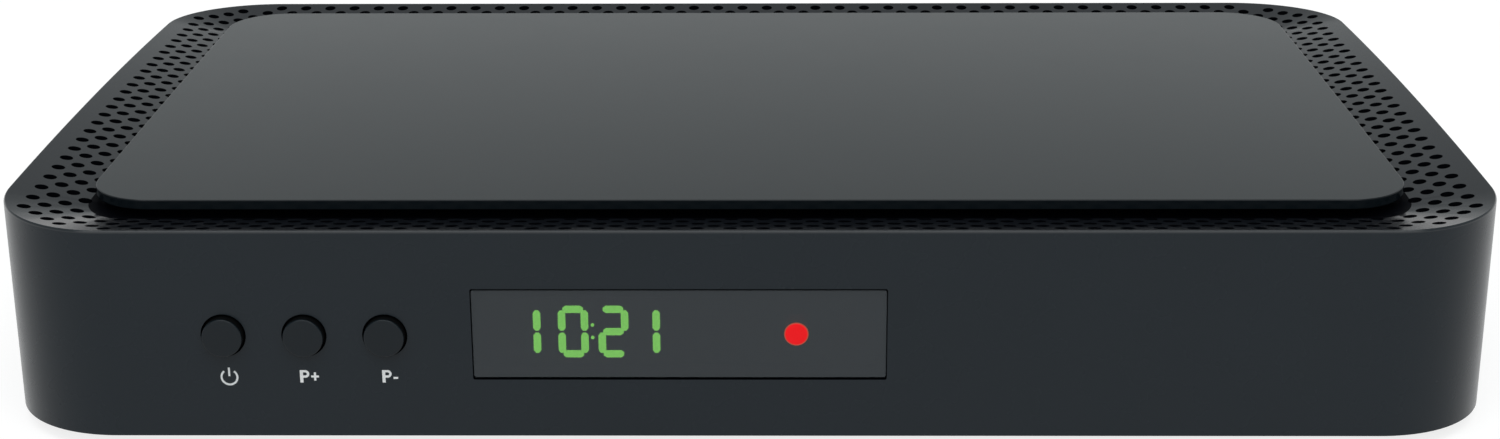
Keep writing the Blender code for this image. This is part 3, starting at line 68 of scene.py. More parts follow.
# The housing: its box comes from the frame, its finer shape from these sizes
HOUSING_LOW, HOUSING_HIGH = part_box("upper_housing")
WIDTH = HOUSING_HIGH.x - HOUSING_LOW.x
DEPTH = HOUSING_HIGH.y - HOUSING_LOW.y
CROWN = 0.00145
RIM_HEIGHT = HOUSING_HIGH.z - HOUSING_LOW.z - CROWN
CORNER_RADIUS = 0.0182
CORNER_STEPS = 32
SIDE_STEPS = 24
EDGE_FILLET = 0.00045
FILLET_TURN = math.radians(60)
FILLET_STEPS = 6
FOOT_ROUNDING = 0.00003
FOOT_DROP = 0.0002
CREST_INSET = EDGE_FILLET * (1 - math.cos(FILLET_TURN))
# From this inset, under the plate's edge, the vent sheet takes the painted shade
SHADE_INSET = 0.0119
DISH_INSET = 0.0138
DISH_SLOPE = 0.19

# Finishes of the housing's faces, by number. The last is a near-black painted shade for the holes, the
# recesses, the sheet under the plate and the underside
HOUSING_FINISHES = ("housing_plastic", "rim_plastic", "vent_plastic", "vent_painted_shade")
PLAIN, RIM, VENT, SHADE = range(len(HOUSING_FINISHES))

# Vent holes: one staggered grid over the whole ring
VENT_COLUMN = 0.00235
VENT_PITCH = 0.0045
VENT_NEAR = 0.0022
VENT_FAR = 0.0116
VENT_RADIUS = 0.0010
VENT_SIDES = 20
VENT_CORNER = 0.019

# Top plate
PLATE_LOW, PLATE_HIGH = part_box("top_plate")
PLATE_THICKNESS = 0.0015
PLATE_RADIUS = 0.010
PLATE_EDGE = 0.00015
PLATE_EDGE_STEPS = 4
PLATE_TAIL = 0.0010
PLATE_TRIM = 0.00035
PLATE_TILT = 0.0002
PLATE_CROWN = 0.00015
PLATE_SLICES = 24
PEG_RADIUS = 0.0035
PEG_X = 0.070
PEG_INSET = 0.022

# Window pane
WINDOW_LOW, WINDOW_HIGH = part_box("display_window")
WINDOW_GROOVE_X = 0.00012
WINDOW_GROOVE_Z = 0.00028
WINDOW_EDGE = 0.00006
WINDOW_GROW_LEFT = 0.00020
WINDOW_GROW_RIGHT = 0.00005
WINDOW_GROW_Z = 0.00015
WINDOW_RECESS = 0.0015
WINDOW_LEDGE = 0.0013
WINDOW_CORNER_STEPS = 3

# Digits of the display
ZERO = ("top", "bottom", "upper_left", "upper_right", "lower_left", "lower_right")
ONE = ("upper_right", "lower_right")
TWO = ("top", "middle", "bottom", "upper_right", "lower_left")
DIGIT_LEFTS = (-0.02720, -0.02142)
DIGIT_ONES = (-0.03025, -0.01306)
DIGIT_WIDTH = 0.00436
DIGIT_HEIGHT = 0.00795
DIGIT_CENTRE_Z = 0.01555
SEGMENT_THICKNESS = 0.00108
SEGMENT_GAP = 0.00017
SEGMENT_TAPER = 0.75
SEGMENT_BLUNT = 0.42
SEGMENT_DEPTH = 0.00012
COLON_X = -0.02225
COLON_ZS = (0.01657, 0.01464)
COLON_RADIUS = 0.00026
COLON_SIDES = 16

# Standby lens
LENS_RADIUS = 0.00162
LENS_RING = 0.00013
LENS_GAP = 0.00005
LENS_DOME = 0.0001
LENS_STEPS = 8
LENS_LENGTH = 0.0030

# Buttons
BUTTONS = ("power_button", "channel_up_button", "channel_down_button")
BUTTON_HOLE = 0.00325
BUTTON_RADIUS = 0.00290
BUTTON_ROUNDING = 0.00025
BUTTON_STEPS = 6
BUTTON_FLANGE = 0.0043
BUTTON_STEM = 0.0015
BUTTON_STEM_LENGTH = 0.0009

# Marks under the buttons
MARK_DEPTH = 0.00002
ARC_STEPS = 28
POWER_MARK = (-0.07483, 0.00901)
POWER_MARK_RADIUS = 0.00130
POWER_MARK_STROKE = 0.00030
POWER_MARK_TOP = 0.00149
POWER_MARK_ENDS = (128, 412)
PLUS_MARK = (-0.06461, 0.00816)
MINUS_MARK = (-0.05270, 0.00817)
LETTER_HEIGHT = 0.00194
LETTER_WIDTH = 0.00137
LETTER_BOWL = 0.00118
LETTER_STEM = 0.00046
LETTER_STROKE = 0.00036
SIGN_SPACE = 0.00024
SIGN_STROKE = 0.00032
PLUS_REACH = 0.00114
PLUS_RISE = 0.00064
PLUS_HEIGHT = 0.00095
DASH_REACH = 0.00066
DASH_HEIGHT = 0.00073

# Rear opening, and the holes of the panel behind it
REAR_LAP = 0.004
REAR_SILL = 0.0042
REAR_HEAD = 0.001
REAR_RADIUS = 0.0015
PANEL_BEVEL = 0.00015
PANEL_SLOTS = ("hdmi_socket", "usb_socket", "network_socket", "power_socket")
PANEL_HOLES = (("digital_audio_socket", 0.00445), ("av_jack", 0.0032), ("aerial_input_socket", 0.0050),
               ("aerial_loop_socket", 0.0050))

# Aerial sockets: the barrel is a share of the flange's radius, the mouth a share of the barrel's
AERIAL_BARREL_SHARE = 0.783
AERIAL_MOUTH_SHARE = 0.78
AERIAL_FLANGE = 0.002
AERIAL_NECK = 0.0032
AERIAL_LIP = 0.0010
AERIAL_LIP_BEVEL = 0.0004
AERIAL_WELL = 0.0030
THREAD_PITCH = 0.00079
THREAD_DEPTH = 0.00045
THREAD_ROWS = 6
INSULATOR_BASE = 0.0029
INSULATOR_FACE = 0.0012
INSULATOR_SPACE = 0.00005
INSULATOR_BEVEL = 0.0002
INSULATOR_BORE = 0.0007
INSULATOR_FUNNEL_SHARE = 2.4
INSULATOR_FUNNEL = 0.0009

# Their nuts: the bore is a share of the half width across the flats, the cutter of the corners' radius
NUT_BORE_SHARE = 0.87
NUT_CUTTER_SHARE = 1.3
NUT_CUTTER_RISE = 0.0008
NUT_CHAMFER_SLOPE = 0.55

# Folded shells, tongues and contact springs
FOLDED_SHEET = 0.0004
SHELL_FLOOR = 0.001
TONGUE_BEVEL = 0.00015
CONTACT_BACK = 0.002
CONTACT_THICKNESS = 0.00006
HDMI_CHAMFER = 0.0016
HDMI_CHAMFER_SHARE = 0.4
HDMI_KNEE = 0.45
HDMI_HIP = 1.3
HDMI_TONGUE_INSET = 0.0022
HDMI_TONGUE_HALF = 0.0005
HDMI_TONGUE_LIFT = 0.0002
HDMI_TONGUE_FRONT = 0.0012
HDMI_CONTACTS = ((0.0025, 10), (0.0029, 9))
HDMI_CONTACT_WIDTH = 0.0005
HDMI_CONTACT_FRONT = 0.0018
USB_RADII = (0.0004, 0.0002)
USB_TAB_PLACES = (0.32, 0.68)
USB_TAB_HALF = 0.0009
USB_TAB_ENDS = (0.0060, 0.0022)
USB_TAB_DROP = 0.0006
USB_TAB_BEVEL = 0.0001
USB_TONGUE_INSET = 0.0010
USB_TONGUE_DROP = 0.0014
USB_TONGUE_THICKNESS = 0.0017
USB_CONTACTS = 4
USB_CONTACT_INSET = 0.0018
USB_CONTACT_WIDTH = 0.0010
USB_CONTACT_FRONT = 0.0016

# Network socket: its mouth, as places beside its middle and above its underside, its lamps and springs
NETWORK_FLOOR = 0.0016
NETWORK_MOUTH = ((-0.0059, NETWORK_FLOOR), (0.0059, NETWORK_FLOOR), (0.0059, 0.0094), (0.0032, 0.0094),
                 (0.0032, 0.0112), (0.0020, 0.0112), (-0.0020, 0.0112), (-0.0032, 0.0112), (-0.0032, 0.0094),
                 (-0.0059, 0.0094))
NETWORK_DEPTH = 0.013
NETWORK_BEVEL = 0.0003
LAMP_INSETS = (0.0004, 0.0036)
LAMP_DROPS = (0.0027, 0.0006)
LAMP_DEPTH = 0.0009
LAMP_SPACE = 0.0001
LAMP_BEVEL = 0.0002
LINER_SPACE = 0.00002
LINER_SHARE_X = 0.93
LINER_SHARE_Z = 0.95
LINER_SHEET = 0.0003
LINER_DEPTHS = (0.0003, 0.0125, 0.0128)
NETWORK_CONTACTS = 8
NETWORK_CONTACT_SPAN = 0.0042
NETWORK_CONTACT_WIDTH = 0.00045
NETWORK_CONTACT_ENDS = (0.0118, 0.0035)
NETWORK_CONTACT_LIFT = 0.0012
NETWORK_CONTACT_THICKNESS = 0.0001

# Sound sockets: each rim as (distance inside the radius, distance past the reach)
BLOCK_BEVEL = 0.0003
SOUND_RADIUS = 0.00415
SOUND_BORE = 0.0030
SOUND_RIM = ((0.0, -0.0008), (0.0002, -0.0002), (0.0005, GAP))
SOUND_INSULATOR_BORE = 0.0018
SOUND_INSULATOR_RADIUS = 0.00295
SOUND_INSULATOR_BASE = 0.0005
SOUND_INSULATOR_RIM = ((0.0, -0.0004), (0.00075, 0.0), (0.00115, -0.0003))
JACK_RADIUS = 0.0029
JACK_BORE = 0.0018
JACK_EDGE = 0.0004
JACK_FUNNEL = 0.0003

# Power socket. The shares shape the tip of its pin
POWER_BEVEL = 0.0004
POWER_BORE = 0.0032
POWER_DEPTH = 0.0095
POWER_PIN = 0.0010
POWER_PIN_SHORT = 0.0012
POWER_TIP = ((1.0, 1.0), (0.8, 0.35), (0.4, 0.0))

# Feet and screws: profiles as (share of the radius, height), a foot's edge as (distance inside, height)
FOOT_TREAD = ((0, 0), (0.55, 0), (0.58, 0.0003), (0.64, 0.0003), (0.67, 0))
FOOT_EDGE = ((0.0006, 0), (0.0002, 0.0002), (0, 0.0006))
SCREW_SHANK = 0.4
SCREW_HEAD = ((0, 0), (0.75, 0), (0.93, 0.00025), (1, 0.0006), (1, 0.0010), (SCREW_SHANK, 0.0010))
CROSS_LENGTH = 0.55
CROSS_WIDTH = 0.13
CROSS_DEPTH = 0.0007

# Camera, fitted to the photograph. The place is measured from the middle of the front face's lower edge
CAMERA_PLACE = Vector((0.004243, -0.320466, 0.142610))
CAMERA_YAW = -0.0117
CAMERA_PITCH = 0.3294
CAMERA_ROLL = -0.0041
CAMERA_LENS = 57.67

# Studio. The world's light falls from the first strength to the second over a range of heights
WORLD_COLOUR = (0.93, 0.99, 1.0, 1.0)
WORLD_RISE = (0.10, 0.36)
WORLD_LIGHT = (0.735, 0.49)
LAMPS = (("overhead_box", (0.0, -0.5, 1.5), (1.6, 0.3), 6.5),
         ("front_box", (0.0, -1.3, 1.0), (2.4, 1.6), 12.0))
FLOOR_RADII = (0, 0.5, 1.5, 2.4)
FLOOR_CURVE = 0.6
FLOOR_CURVE_STEPS = 8
FLOOR_SIDES = 96
FLOOR_GLOW = 0.8
FLOOR_SHADE = 0.28

# What the finishes of a kind of surface share, and the noises in every finish
MOULDED = {"mottle": 0.03, "rough_spread": 0.02, "grain_depth": 0.000001}
METAL = {"metallic": 1.0, "mottle": 0.06, "mottle_scale": 120.0}
BRUSHED = {**METAL, "stretch": (1, 12, 12), "grain_depth": 0.00001}
NOISE_MIDDLE = (0.3, 0.7)
MOTTLE_DETAIL = 4.0
GLOSS_DETAIL = 3.0
GLOSS_SCALE = 2.3
GRAIN_DETAIL = 2.0
GRAIN_STRENGTH = 0.5

# Screen colour, roughness and what differs from the defaults of a finish
FINISHES = {
    "housing_plastic": ((27, 35, 41), 0.27, dict(MOULDED, specular=0.21)),
    "rim_plastic": ((26, 33, 38), 0.14, dict(MOULDED, specular=0.42)),
    "vent_plastic": ((23, 26, 31), 0.16, dict(MOULDED, specular=0.18)),
    # Near-black painted shade where little light reaches: holes, recesses and the sheet under the plate
    "vent_painted_shade": ((4, 5, 9), 0.60, dict(specular=0.02, mottle=0.03, grain_depth=0.000001)),
    "plate_plastic": ((16, 22, 26), 0.14, dict(MOULDED, specular=0.20, mottle=0.02)),
    "base_plastic": ((34, 36, 38), 0.55, dict(specular=0.3, grain_scale=1800.0)),
    "foot_rubber": ((24, 24, 25), 0.80, dict(specular=0.2, grain_scale=1500.0, grain_depth=0.00006)),
    "screw_steel": ((78, 78, 82), 0.38, METAL),
    "button_plastic": ((13, 23, 29), 0.20, dict(specular=0.21, mottle=0.03)),
    # Dark painted shade on the sides of the buttons
    "button_side_painted_shade": ((6, 7, 8), 0.60, dict(specular=0.1)),
    "plunger_plastic": ((170, 60, 40), 0.45, {}),
    "switch_body": ((40, 40, 41), 0.50, {}),
    "display_body": ((46, 48, 50), 0.60, dict(specular=0.1, mottle=0.04)),
    "led_epoxy": ((190, 40, 36), 0.20, {}),
    "sensor_epoxy": ((36, 24, 34), 0.18, {}),
    "socket_metal": ((196, 196, 192), 0.30, BRUSHED),
    "socket_plastic": ((26, 26, 28), 0.45, dict(specular=0.4)),
    "socket_nylon": ((222, 214, 190), 0.50, {}),
    "tin_plate": ((200, 200, 196), 0.26, BRUSHED),
    "connector_nickel": ((204, 200, 190), 0.20, METAL),
    "panel_steel": ((44, 46, 49), 0.50, dict(specular=0.4, grain_scale=1400.0, grain_depth=0.00005)),
    "chip_epoxy": ((36, 36, 38), 0.55, dict(grain_scale=3000.0)),
    "sink_aluminium": ((190, 192, 196), 0.38, BRUSHED),
    "capacitor_sleeve": ((34, 44, 84), 0.30, {}),
    "ferrite": ((66, 66, 68), 0.70, dict(mottle=0.3, grain_scale=1200.0)),
    "cable_film": ((226, 226, 222), 0.35, dict(stretch=(40, 1, 1))),
    "gold_contact": ((214, 172, 92), 0.25, METAL),
    "insulator_white": ((224, 224, 218), 0.40, {}),
    "insulator_orange": ((214, 110, 30), 0.40, {}),
    "insulator_yellow": ((222, 190, 40), 0.40, {}),
    "lamp_amber": ((190, 130, 40), 0.22, {}),
    "lamp_green": ((70, 150, 60), 0.22, {}),
    "mark_ink": ((252, 254, 254), 0.45, dict(mottle=0.02)),
    "mark_ink_dim": ((238, 241, 242), 0.45, dict(mottle=0.02)),
}

# Lit lenses: screen colour, colour of the glow and its strength
GLOWS = {
    "display_lit": ((60, 110, 40), (155, 255, 106), 11.1),
    "standby_red": ((180, 6, 14), (235, 8, 16), 0.60),
    "standby_ring": ((170, 84, 66), (190, 90, 70), 0.25),
}


# Places


def at(x, y, z):
    """A place in the frame of the housing: y from the front face, z from the lower edge of the walls."""
    return Vector((x, HOUSING_LOW.y + y, HOUSING_LOW.z + z))


def box_of(node):
    """The low corner, high corner and middle of a node's box."""
    low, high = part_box(node)
    return low, high, (low + high) / 2


def on_axis(middle, depth):
    """The place at a depth on the line from front to rear through a middle."""
    return Vector((middle.x, depth, middle.z))


# Materials


def linear(level):
    """One channel of a screen colour, from 0 to 255, as linear light."""
    share = level / 255
    return share / 12.92 if share <= 0.04045 else ((share + 0.055) / 1.055) ** 2.4


def colour(red, green, blue):
    """A screen colour as linear red, green, blue and alpha."""
    return linear(red), linear(green), linear(blue), 1.0


def fill(tree, node, inputs):
    """Give each named input of a node its value, or link it to the output that feeds it."""
    for name, value in inputs.items():
        if isinstance(value, bpy.types.NodeSocket):
            tree.links.new(value, node.inputs[name])
        else:
            node.inputs[name].default_value = value


def add_node(tree, kind, inputs, **settings):
    """A new node with its settings and inputs."""
    node = tree.nodes.new(f"ShaderNode{kind}")
    for name, value in settings.items():
        setattr(node, name, value)
    fill(tree, node, inputs)
    return node


def new_material(name):
    """A material, its node tree and its shader."""
    material = bpy.data.materials.new(name)
    material.use_nodes = True
    return material, material.node_tree, material.node_tree.nodes["Principled BSDF"]


def noise(tree, scale, detail, stretch):
    """A noise in the object's own coordinates."""
    place = add_node(tree, "TexCoord", {}).outputs["Object"]
    mapped = add_node(tree, "Mapping", {"Vector": place, "Scale": stretch}).outputs["Vector"]
    texture = add_node(tree, "TexNoise", {"Vector": mapped, "Scale": scale, "Detail": detail})
    return texture.outputs["Fac"]


def map_range(tree, source, start, end, low, high):
    """Map a value from one range onto another."""
    inputs = {"Value": source, "From Min": start, "From Max": end, "To Min": low, "To Max": high}
    return add_node(tree, "MapRange", inputs).outputs["Result"]


def spread(tree, source, low, high):
    """Map the middle of a noise onto a range."""
    start, end = NOISE_MIDDLE
    return map_range(tree, source, start, end, low, high)


def finish(name, base, roughness, metallic=0.0, specular=0.5, mottle=0.12, mottle_scale=60.0,
           rough_spread=0.05, grain_scale=2500.0, grain_depth=0.00002, stretch=(1, 1, 1)):
    """A finish with uneven colour and gloss and a fine grain."""
    material, tree, shader = new_material(name)
    dark, light = (tuple(channel * (1 + side * mottle) for channel in base[:3]) + (1.0,) for side in (-1, 1))
    cloud = spread(tree, noise(tree, mottle_scale, MOTTLE_DETAIL, stretch), 0.0, 1.0)
    blend = add_node(tree, "Mix", {"A": dark, "B": light, "Factor": cloud}, data_type="RGBA")
    wear = noise(tree, mottle_scale * GLOSS_SCALE, GLOSS_DETAIL, stretch)
    grain = noise(tree, grain_scale, GRAIN_DETAIL, stretch)
    bump = add_node(tree, "Bump", {"Strength": GRAIN_STRENGTH, "Distance": grain_depth, "Height": grain})
    gloss = spread(tree, wear, roughness - rough_spread, roughness + rough_spread)
    fill(tree, shader, {"Metallic": metallic, "Specular IOR Level": specular, "Roughness": gloss,
                        "Base Color": blend.outputs["Result"], "Normal": bump.outputs["Normal"]})
    return material


def glowing(name, base, glow, strength):
    """A lit lens: a clear coloured plastic that glows."""
    material = finish(name, base, 0.25, specular=0.21, mottle=0.05, grain_depth=0.000005)
    shader = material.node_tree.nodes["Principled BSDF"]
    shader.inputs["Emission Color"].default_value = glow
    shader.inputs["Emission Strength"].default_value = strength
    return material


def laminate(name):
    """Green solder mask over a faint pattern of tracks."""
    material = finish(name, colour(22, 78, 48), 0.40, mottle=0.25, mottle_scale=90.0)
    tree = material.node_tree
    place = add_node(tree, "TexCoord", {}).outputs["Object"]
    tracks = add_node(tree, "TexBrick", {"Vector": place, "Scale": 220.0, "Mortar Size": 0.06,
                                         "Color1": colour(24, 82, 50), "Color2": colour(19, 68, 42),
                                         "Mortar": colour(46, 112, 66)})
    fill(tree, tree.nodes["Principled BSDF"], {"Base Color": tracks.outputs["Color"]})
    return material


def smoked_pane(name):
    """Tinted acrylic that lets part of the light through."""
    material = finish(name, colour(66, 71, 75), 0.20, specular=0.21, mottle=0.02, mottle_scale=40.0,
                      grain_depth=0.000001)
    material.node_tree.nodes["Principled BSDF"].inputs["Alpha"].default_value = 0.80
    return material


def make_materials():
    """Every finish of the receiver, by name."""
    made = {name: finish(name, colour(*base), roughness, **options)
            for name, (base, roughness, options) in FINISHES.items()}
    for name, (base, glow, strength) in GLOWS.items():
        made[name] = glowing(name, colour(*base), colour(*glow), strength)
    made["window_smoke"] = smoked_pane("window_smoke")
    made["board_laminate"] = laminate("board_laminate")
    return made


MATERIALS = make_materials()


# Modelling helpers


def new_object(name, bm):
    """Turn a bmesh into an object of the scene, its faces pointing out."""
    bmesh.ops.recalc_face_normals(bm, faces=bm.faces)
    mesh = bpy.data.meshes.new(name)
    bm.to_mesh(mesh)
    bm.free()
    obj = bpy.data.objects.new(name, mesh)
    bpy.context.scene.collection.objects.link(obj)
    return obj


def add_piece(name, bm, materials, body="housing", stands_for=(), slot=None, weighted=False):
    """Turn a bmesh into a piece that rides on a body. Its slot is not used."""
    names = materials if isinstance(materials, tuple) else (materials,)
    piece = new_object(name, bm)
    for material in names:
        piece.data.materials.append(MATERIALS[material])
    piece.data.shade_smooth()
    piece.data.set_sharp_from_angle(angle=SHARP)
    if weighted:
        modifier = piece.modifiers.new("even_shading", "WEIGHTED_NORMAL")
        modifier.keep_sharp = True
        modifier.weight = 100
    if stands_for:
        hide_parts(*stands_for)
    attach(piece, body)


def cut(piece_bm, cutter_bm):
    """Cut one closed bmesh out of another and return the result as a new bmesh.

    The empty material slots keep the finish numbers of the faces.
    """
    target, tool = (new_object("cut", bm) for bm in (piece_bm, cutter_bm))
    for mesh in (target.data, tool.data):
        for _ in HOUSING_FINISHES:
            mesh.materials.append(None)
    modifier = target.modifiers.new("cut", "BOOLEAN")
    modifier.operation = "DIFFERENCE"
    modifier.solver = "MANIFOLD"
    modifier.object = tool
    result = bmesh.new()
    evaluated = target.evaluated_get(bpy.context.evaluated_depsgraph_get())
    result.from_mesh(evaluated.to_mesh())
    evaluated.to_mesh_clear()
    for obj in (target, tool):
        mesh = obj.data
        bpy.data.objects.remove(obj)
        bpy.data.meshes.remove(mesh)
    return result


def weld(bm):
    """Join the points that meet."""
    bmesh.ops.remove_doubles(bm, verts=bm.verts, dist=WELD_REACH)
    return bm


def bridge(bm, lower, upper, material=0):
    """Join two closed rings, either of which may be a single point."""
    sides = max(len(lower), len(upper))
    for step in range(sides):
        following = (step + 1) % sides
        if len(lower) == 1:
            corners = (lower[0], upper[following], upper[step])
        elif len(upper) == 1:
            corners = (lower[step], lower[following], upper[0])
        else:
            corners = (lower[step], lower[following], upper[following], upper[step])
        bm.faces.new(corners).material_index = material


def skin(bm, rings, material=0):
    """Join each ring to the next one."""
    for lower, upper in zip(rings, rings[1:]):
        bridge(bm, lower, upper, material)


def close_middle(bm, ring, material=0):
    """Close a ring whose points lie in pairs across it with strips from side to side."""
    count = len(ring)
    for step in range(count // 2 - 1):
        face = bm.faces.new((ring[step], ring[step + 1], ring[count - 2 - step], ring[count - 1 - step]))
        face.material_index = material


def circle(bm, matrix, radius, height, sides):
    """The points of a ring round an axis, or the one point on the axis."""
    if radius == 0:
        return [bm.verts.new(matrix @ Vector((0, 0, height)))]
    angles = (2 * math.pi * step / sides for step in range(sides))
    return [bm.verts.new(matrix @ Vector((radius * math.cos(angle), radius * math.sin(angle), height)))
            for angle in angles]


def lathe(bm, profile, place, facing="rear", sides=ROUND, material=0):
    """Add a turned form. The profile lists (radius, height) from one end to the other."""
    matrix = Matrix.Translation(place) @ TURNS[facing]
    skin(bm, [circle(bm, matrix, radius, height, sides) for radius, height in profile], material)
    return bm


def add_turned(name, profile, place, material, facing="rear", **claims):
    """A turned piece, its points joined where they meet."""
    add_piece(name, weld(lathe(bmesh.new(), profile, place, facing)), material, **claims)


def rod(radius, length):
    """The profile of a plain cylinder."""
    return (0, 0), (radius, 0), (radius, length), (0, length)


def quarter(steps):
    """Angles from nothing to a right angle in even steps."""
    return [step / steps * math.pi / 2 for step in range(steps + 1)]


def wall(bm, outline, near, far, material=0):
    """Add the wall of an outline, in x and z, between two depths, and return the rings at its ends."""
    rings = [[bm.verts.new((x, depth, z)) for x, z in outline] for depth in (near, far)]
    skin(bm, rings, material)
    return rings


def prism(bm, outline, near, far, material=0):
    """Add a solid whose outline, in x and z, runs between two depths."""
    front, back = wall(bm, outline, near, far, material)
    bm.faces.new(front).material_index = material
    bm.faces.new(list(reversed(back))).material_index = material
    return bm


def tray(bm, outline, inner, mouth, floor, back):
    """Add a cup: an outer outline from the mouth to the back, hollowed by an inner one down to its floor."""
    outer_near, outer_far = wall(bm, outline, mouth, back)
    inner_near, inner_far = wall(bm, inner, mouth, floor)
    bridge(bm, outer_near, inner_near)
    bm.faces.new(inner_far)
    bm.faces.new(outer_far)
    return bm


def add_box(bm, low, high, bevel=0.0, material=0):
    """Add a box, its edges rounded when a bevel is given."""
    verts = bmesh.ops.create_cube(bm, size=1.0)["verts"]
    low, high = Vector(low), Vector(high)
    bmesh.ops.scale(bm, vec=high - low, verts=verts)
    bmesh.ops.translate(bm, vec=(low + high) / 2, verts=verts)
    for face in {face for vert in verts for face in vert.link_faces}:
        face.material_index = material
    if bevel > 0:
        edges = list({edge for vert in verts for edge in vert.link_edges})
        bmesh.ops.bevel(bm, geom=edges, offset=bevel, segments=2, affect="EDGES", profile=0.5)
    return bm


def face_edges(low, high):
    """The left, low, right and high edges of a box seen from the front."""
    return low.x, low.z, high.x, high.z


def grown(edges, beyond_x, beyond_z):
    """Edges moved out on all sides, or in where the distance is negative."""
    left, low, right, high = edges
    return left - beyond_x, low - beyond_z, right + beyond_x, high + beyond_z


def rounded_outline(edges, radius, steps=6):
    """A rounded rectangle within left, low, right and high edges, as a list of points."""
    left, low, right, high = edges
    points = []
    for centre_x, centre_z, start in ((right - radius, high - radius, 0), (left + radius, high - radius, 1),
                                      (left + radius, low + radius, 2), (right - radius, low + radius, 3)):
        for step in range(steps + 1):
            angle = (start + step / steps) * math.pi / 2
            points.append((centre_x + radius * math.cos(angle), centre_z + radius * math.sin(angle)))
    return points


def ring_outline(left, right, low, high, radius, corner_steps, side_steps):
    """Points round a rounded rectangle seen from above, from the front right corner on, in pairs across it.

    The corners' centres lie at the given places, and the sides between them are divided too.
    """
    points = []
    for centre_x, centre_y, start in ((right, low, -1), (right, high, 0), (left, high, 1), (left, low, 2)):
        for step in range(corner_steps + 1):
            angle = (start + step / corner_steps) * math.pi / 2
            points.append((centre_x + radius * math.cos(angle), centre_y + radius * math.sin(angle)))
        if start in (-1, 1):
            side = centre_x + math.copysign(radius, centre_x)
            for step in range(1, side_steps):
                run = (high - low) * step / side_steps
                points.append((side, low + run if start == -1 else high - run))
    return points


# Housing


def crown_rise(y):
    """Height that the top gains at a depth: a shallow arch from front to rear."""
    return CROWN * (1 - (2 * y / DEPTH - 1) ** 2)


def dish_height(inset):
    """Height of the vent sheet at an inset: it falls evenly from the rim to the floor under the plate."""
    return RIM_HEIGHT - DISH_SLOPE * (min(inset, DISH_INSET) - CREST_INSET)


def housing_outline(inset):
    """Points round the housing at an inset from its walls."""
    half = WIDTH / 2 - CORNER_RADIUS
    return ring_outline(-half, half, CORNER_RADIUS, DEPTH - CORNER_RADIUS, CORNER_RADIUS - inset,
                        CORNER_STEPS, SIDE_STEPS)


def housing_rings():
    """The section of the housing from its outer to its inner foot, and the number of rings on its outside.

    Each ring is (inset, height, share of the crown, finish of the faces that follow it).
    """
    shoulder = RIM_HEIGHT - EDGE_FILLET * math.sin(FILLET_TURN)
    foot = -FOOT_DROP
    rings = [(FOOT_ROUNDING, foot, 0, PLAIN), (0.0, foot + FOOT_ROUNDING, 0, PLAIN),
             (0.0, foot + FOOT_ROUNDING + SUPPORT, 0, PLAIN), (0.0, shoulder - SUPPORT, 1, PLAIN)]
    for step in range(FILLET_STEPS):
        angle = step / FILLET_STEPS * FILLET_TURN
        rings.append((EDGE_FILLET * (1 - math.cos(angle)), shoulder + EDGE_FILLET * math.sin(angle), 1, RIM))
    for inset in (CREST_INSET, CREST_INSET + SUPPORT):
        rings.append((inset, dish_height(inset), 1, VENT))
    # From the plate's edge inwards, and on the underside, the sheet takes the painted shade
    for inset in (SHADE_INSET, DISH_INSET - SUPPORT, DISH_INSET):
        rings.append((inset, dish_height(inset), 1, SHADE))
    outer_count = len(rings)
    for inset in (DISH_INSET, WALL + SHEET):
        rings.append((inset, dish_height(inset) - SHEET, 1, SHADE))
    rings.append((WALL, dish_height(WALL) - 2 * SHEET, 1, SHADE))
    rings.append((WALL, foot, 0, SHADE))
    return rings, outer_count


def housing_body():
    """The closed skin of the housing without its openings."""
    bm = bmesh.new()
    rings, outer_count = housing_rings()
    rises = [crown_rise(y) for _, y in housing_outline(0.0)]
    made = []
    for inset, height, crown_share, _ in rings:
        made.append([bm.verts.new(at(x, y, height + crown_share * rise))
                     for (x, y), rise in zip(housing_outline(inset), rises)])
    for number, (lower, upper) in enumerate(zip(made, made[1:]), start=1):
        if number != outer_count:
            bridge(bm, lower, upper, rings[number - 1][3])
    close_middle(bm, made[outer_count - 1], SHADE)
    close_middle(bm, made[outer_count], SHADE)
    bridge(bm, made[-1], made[0])
    return bm


def inset_at(x, y):
    """How far inside the walls a place lies, seen from above."""
    beyond_x = abs(x) - (WIDTH / 2 - VENT_CORNER)
    beyond_y = abs(y - DEPTH / 2) - (DEPTH / 2 - VENT_CORNER)
    if beyond_x > 0 and beyond_y > 0:
        return VENT_CORNER - math.hypot(beyond_x, beyond_y)
    return VENT_CORNER - max(beyond_x, beyond_y)


def vent_places():
    """Places of all the vent holes, in the frame of the housing."""
    columns = int(WIDTH / 2 / VENT_COLUMN)
    rows = int(DEPTH / 2 / VENT_PITCH) + 1
    for column in range(-columns, columns + 1):
        for row in range(-rows, rows + 1):
            x = column * VENT_COLUMN
            y = DEPTH / 2 + (row + column % 2 / 2) * VENT_PITCH
            if VENT_NEAR <= inset_at(x, y) <= VENT_FAR:
                yield x, y


def round_holes():
    """Cutters for the vent holes and the button holes."""
    holes = bmesh.new()
    low, high = dish_height(DISH_INSET) - SHEET - OVERRUN, RIM_HEIGHT + CROWN + OVERRUN
    # The walls of the vent and button holes take the painted shade
    for x, y in vent_places():
        lathe(holes, rod(VENT_RADIUS, high - low), at(x, y, low), "up", VENT_SIDES, SHADE)
    for button in BUTTONS:
        _, _, middle = box_of(button)
        place = on_axis(middle, HOUSING_LOW.y - OVERRUN)
        lathe(holes, rod(BUTTON_HOLE, WALL + 2 * OVERRUN), place, material=SHADE)
    return holes


def window_edges():
    """The edges of the pane on the front face."""
    left, low, right, high = face_edges(WINDOW_LOW, WINDOW_HIGH)
    return left - WINDOW_GROW_LEFT, low - WINDOW_GROW_Z, right + WINDOW_GROW_RIGHT, high + WINDOW_GROW_Z


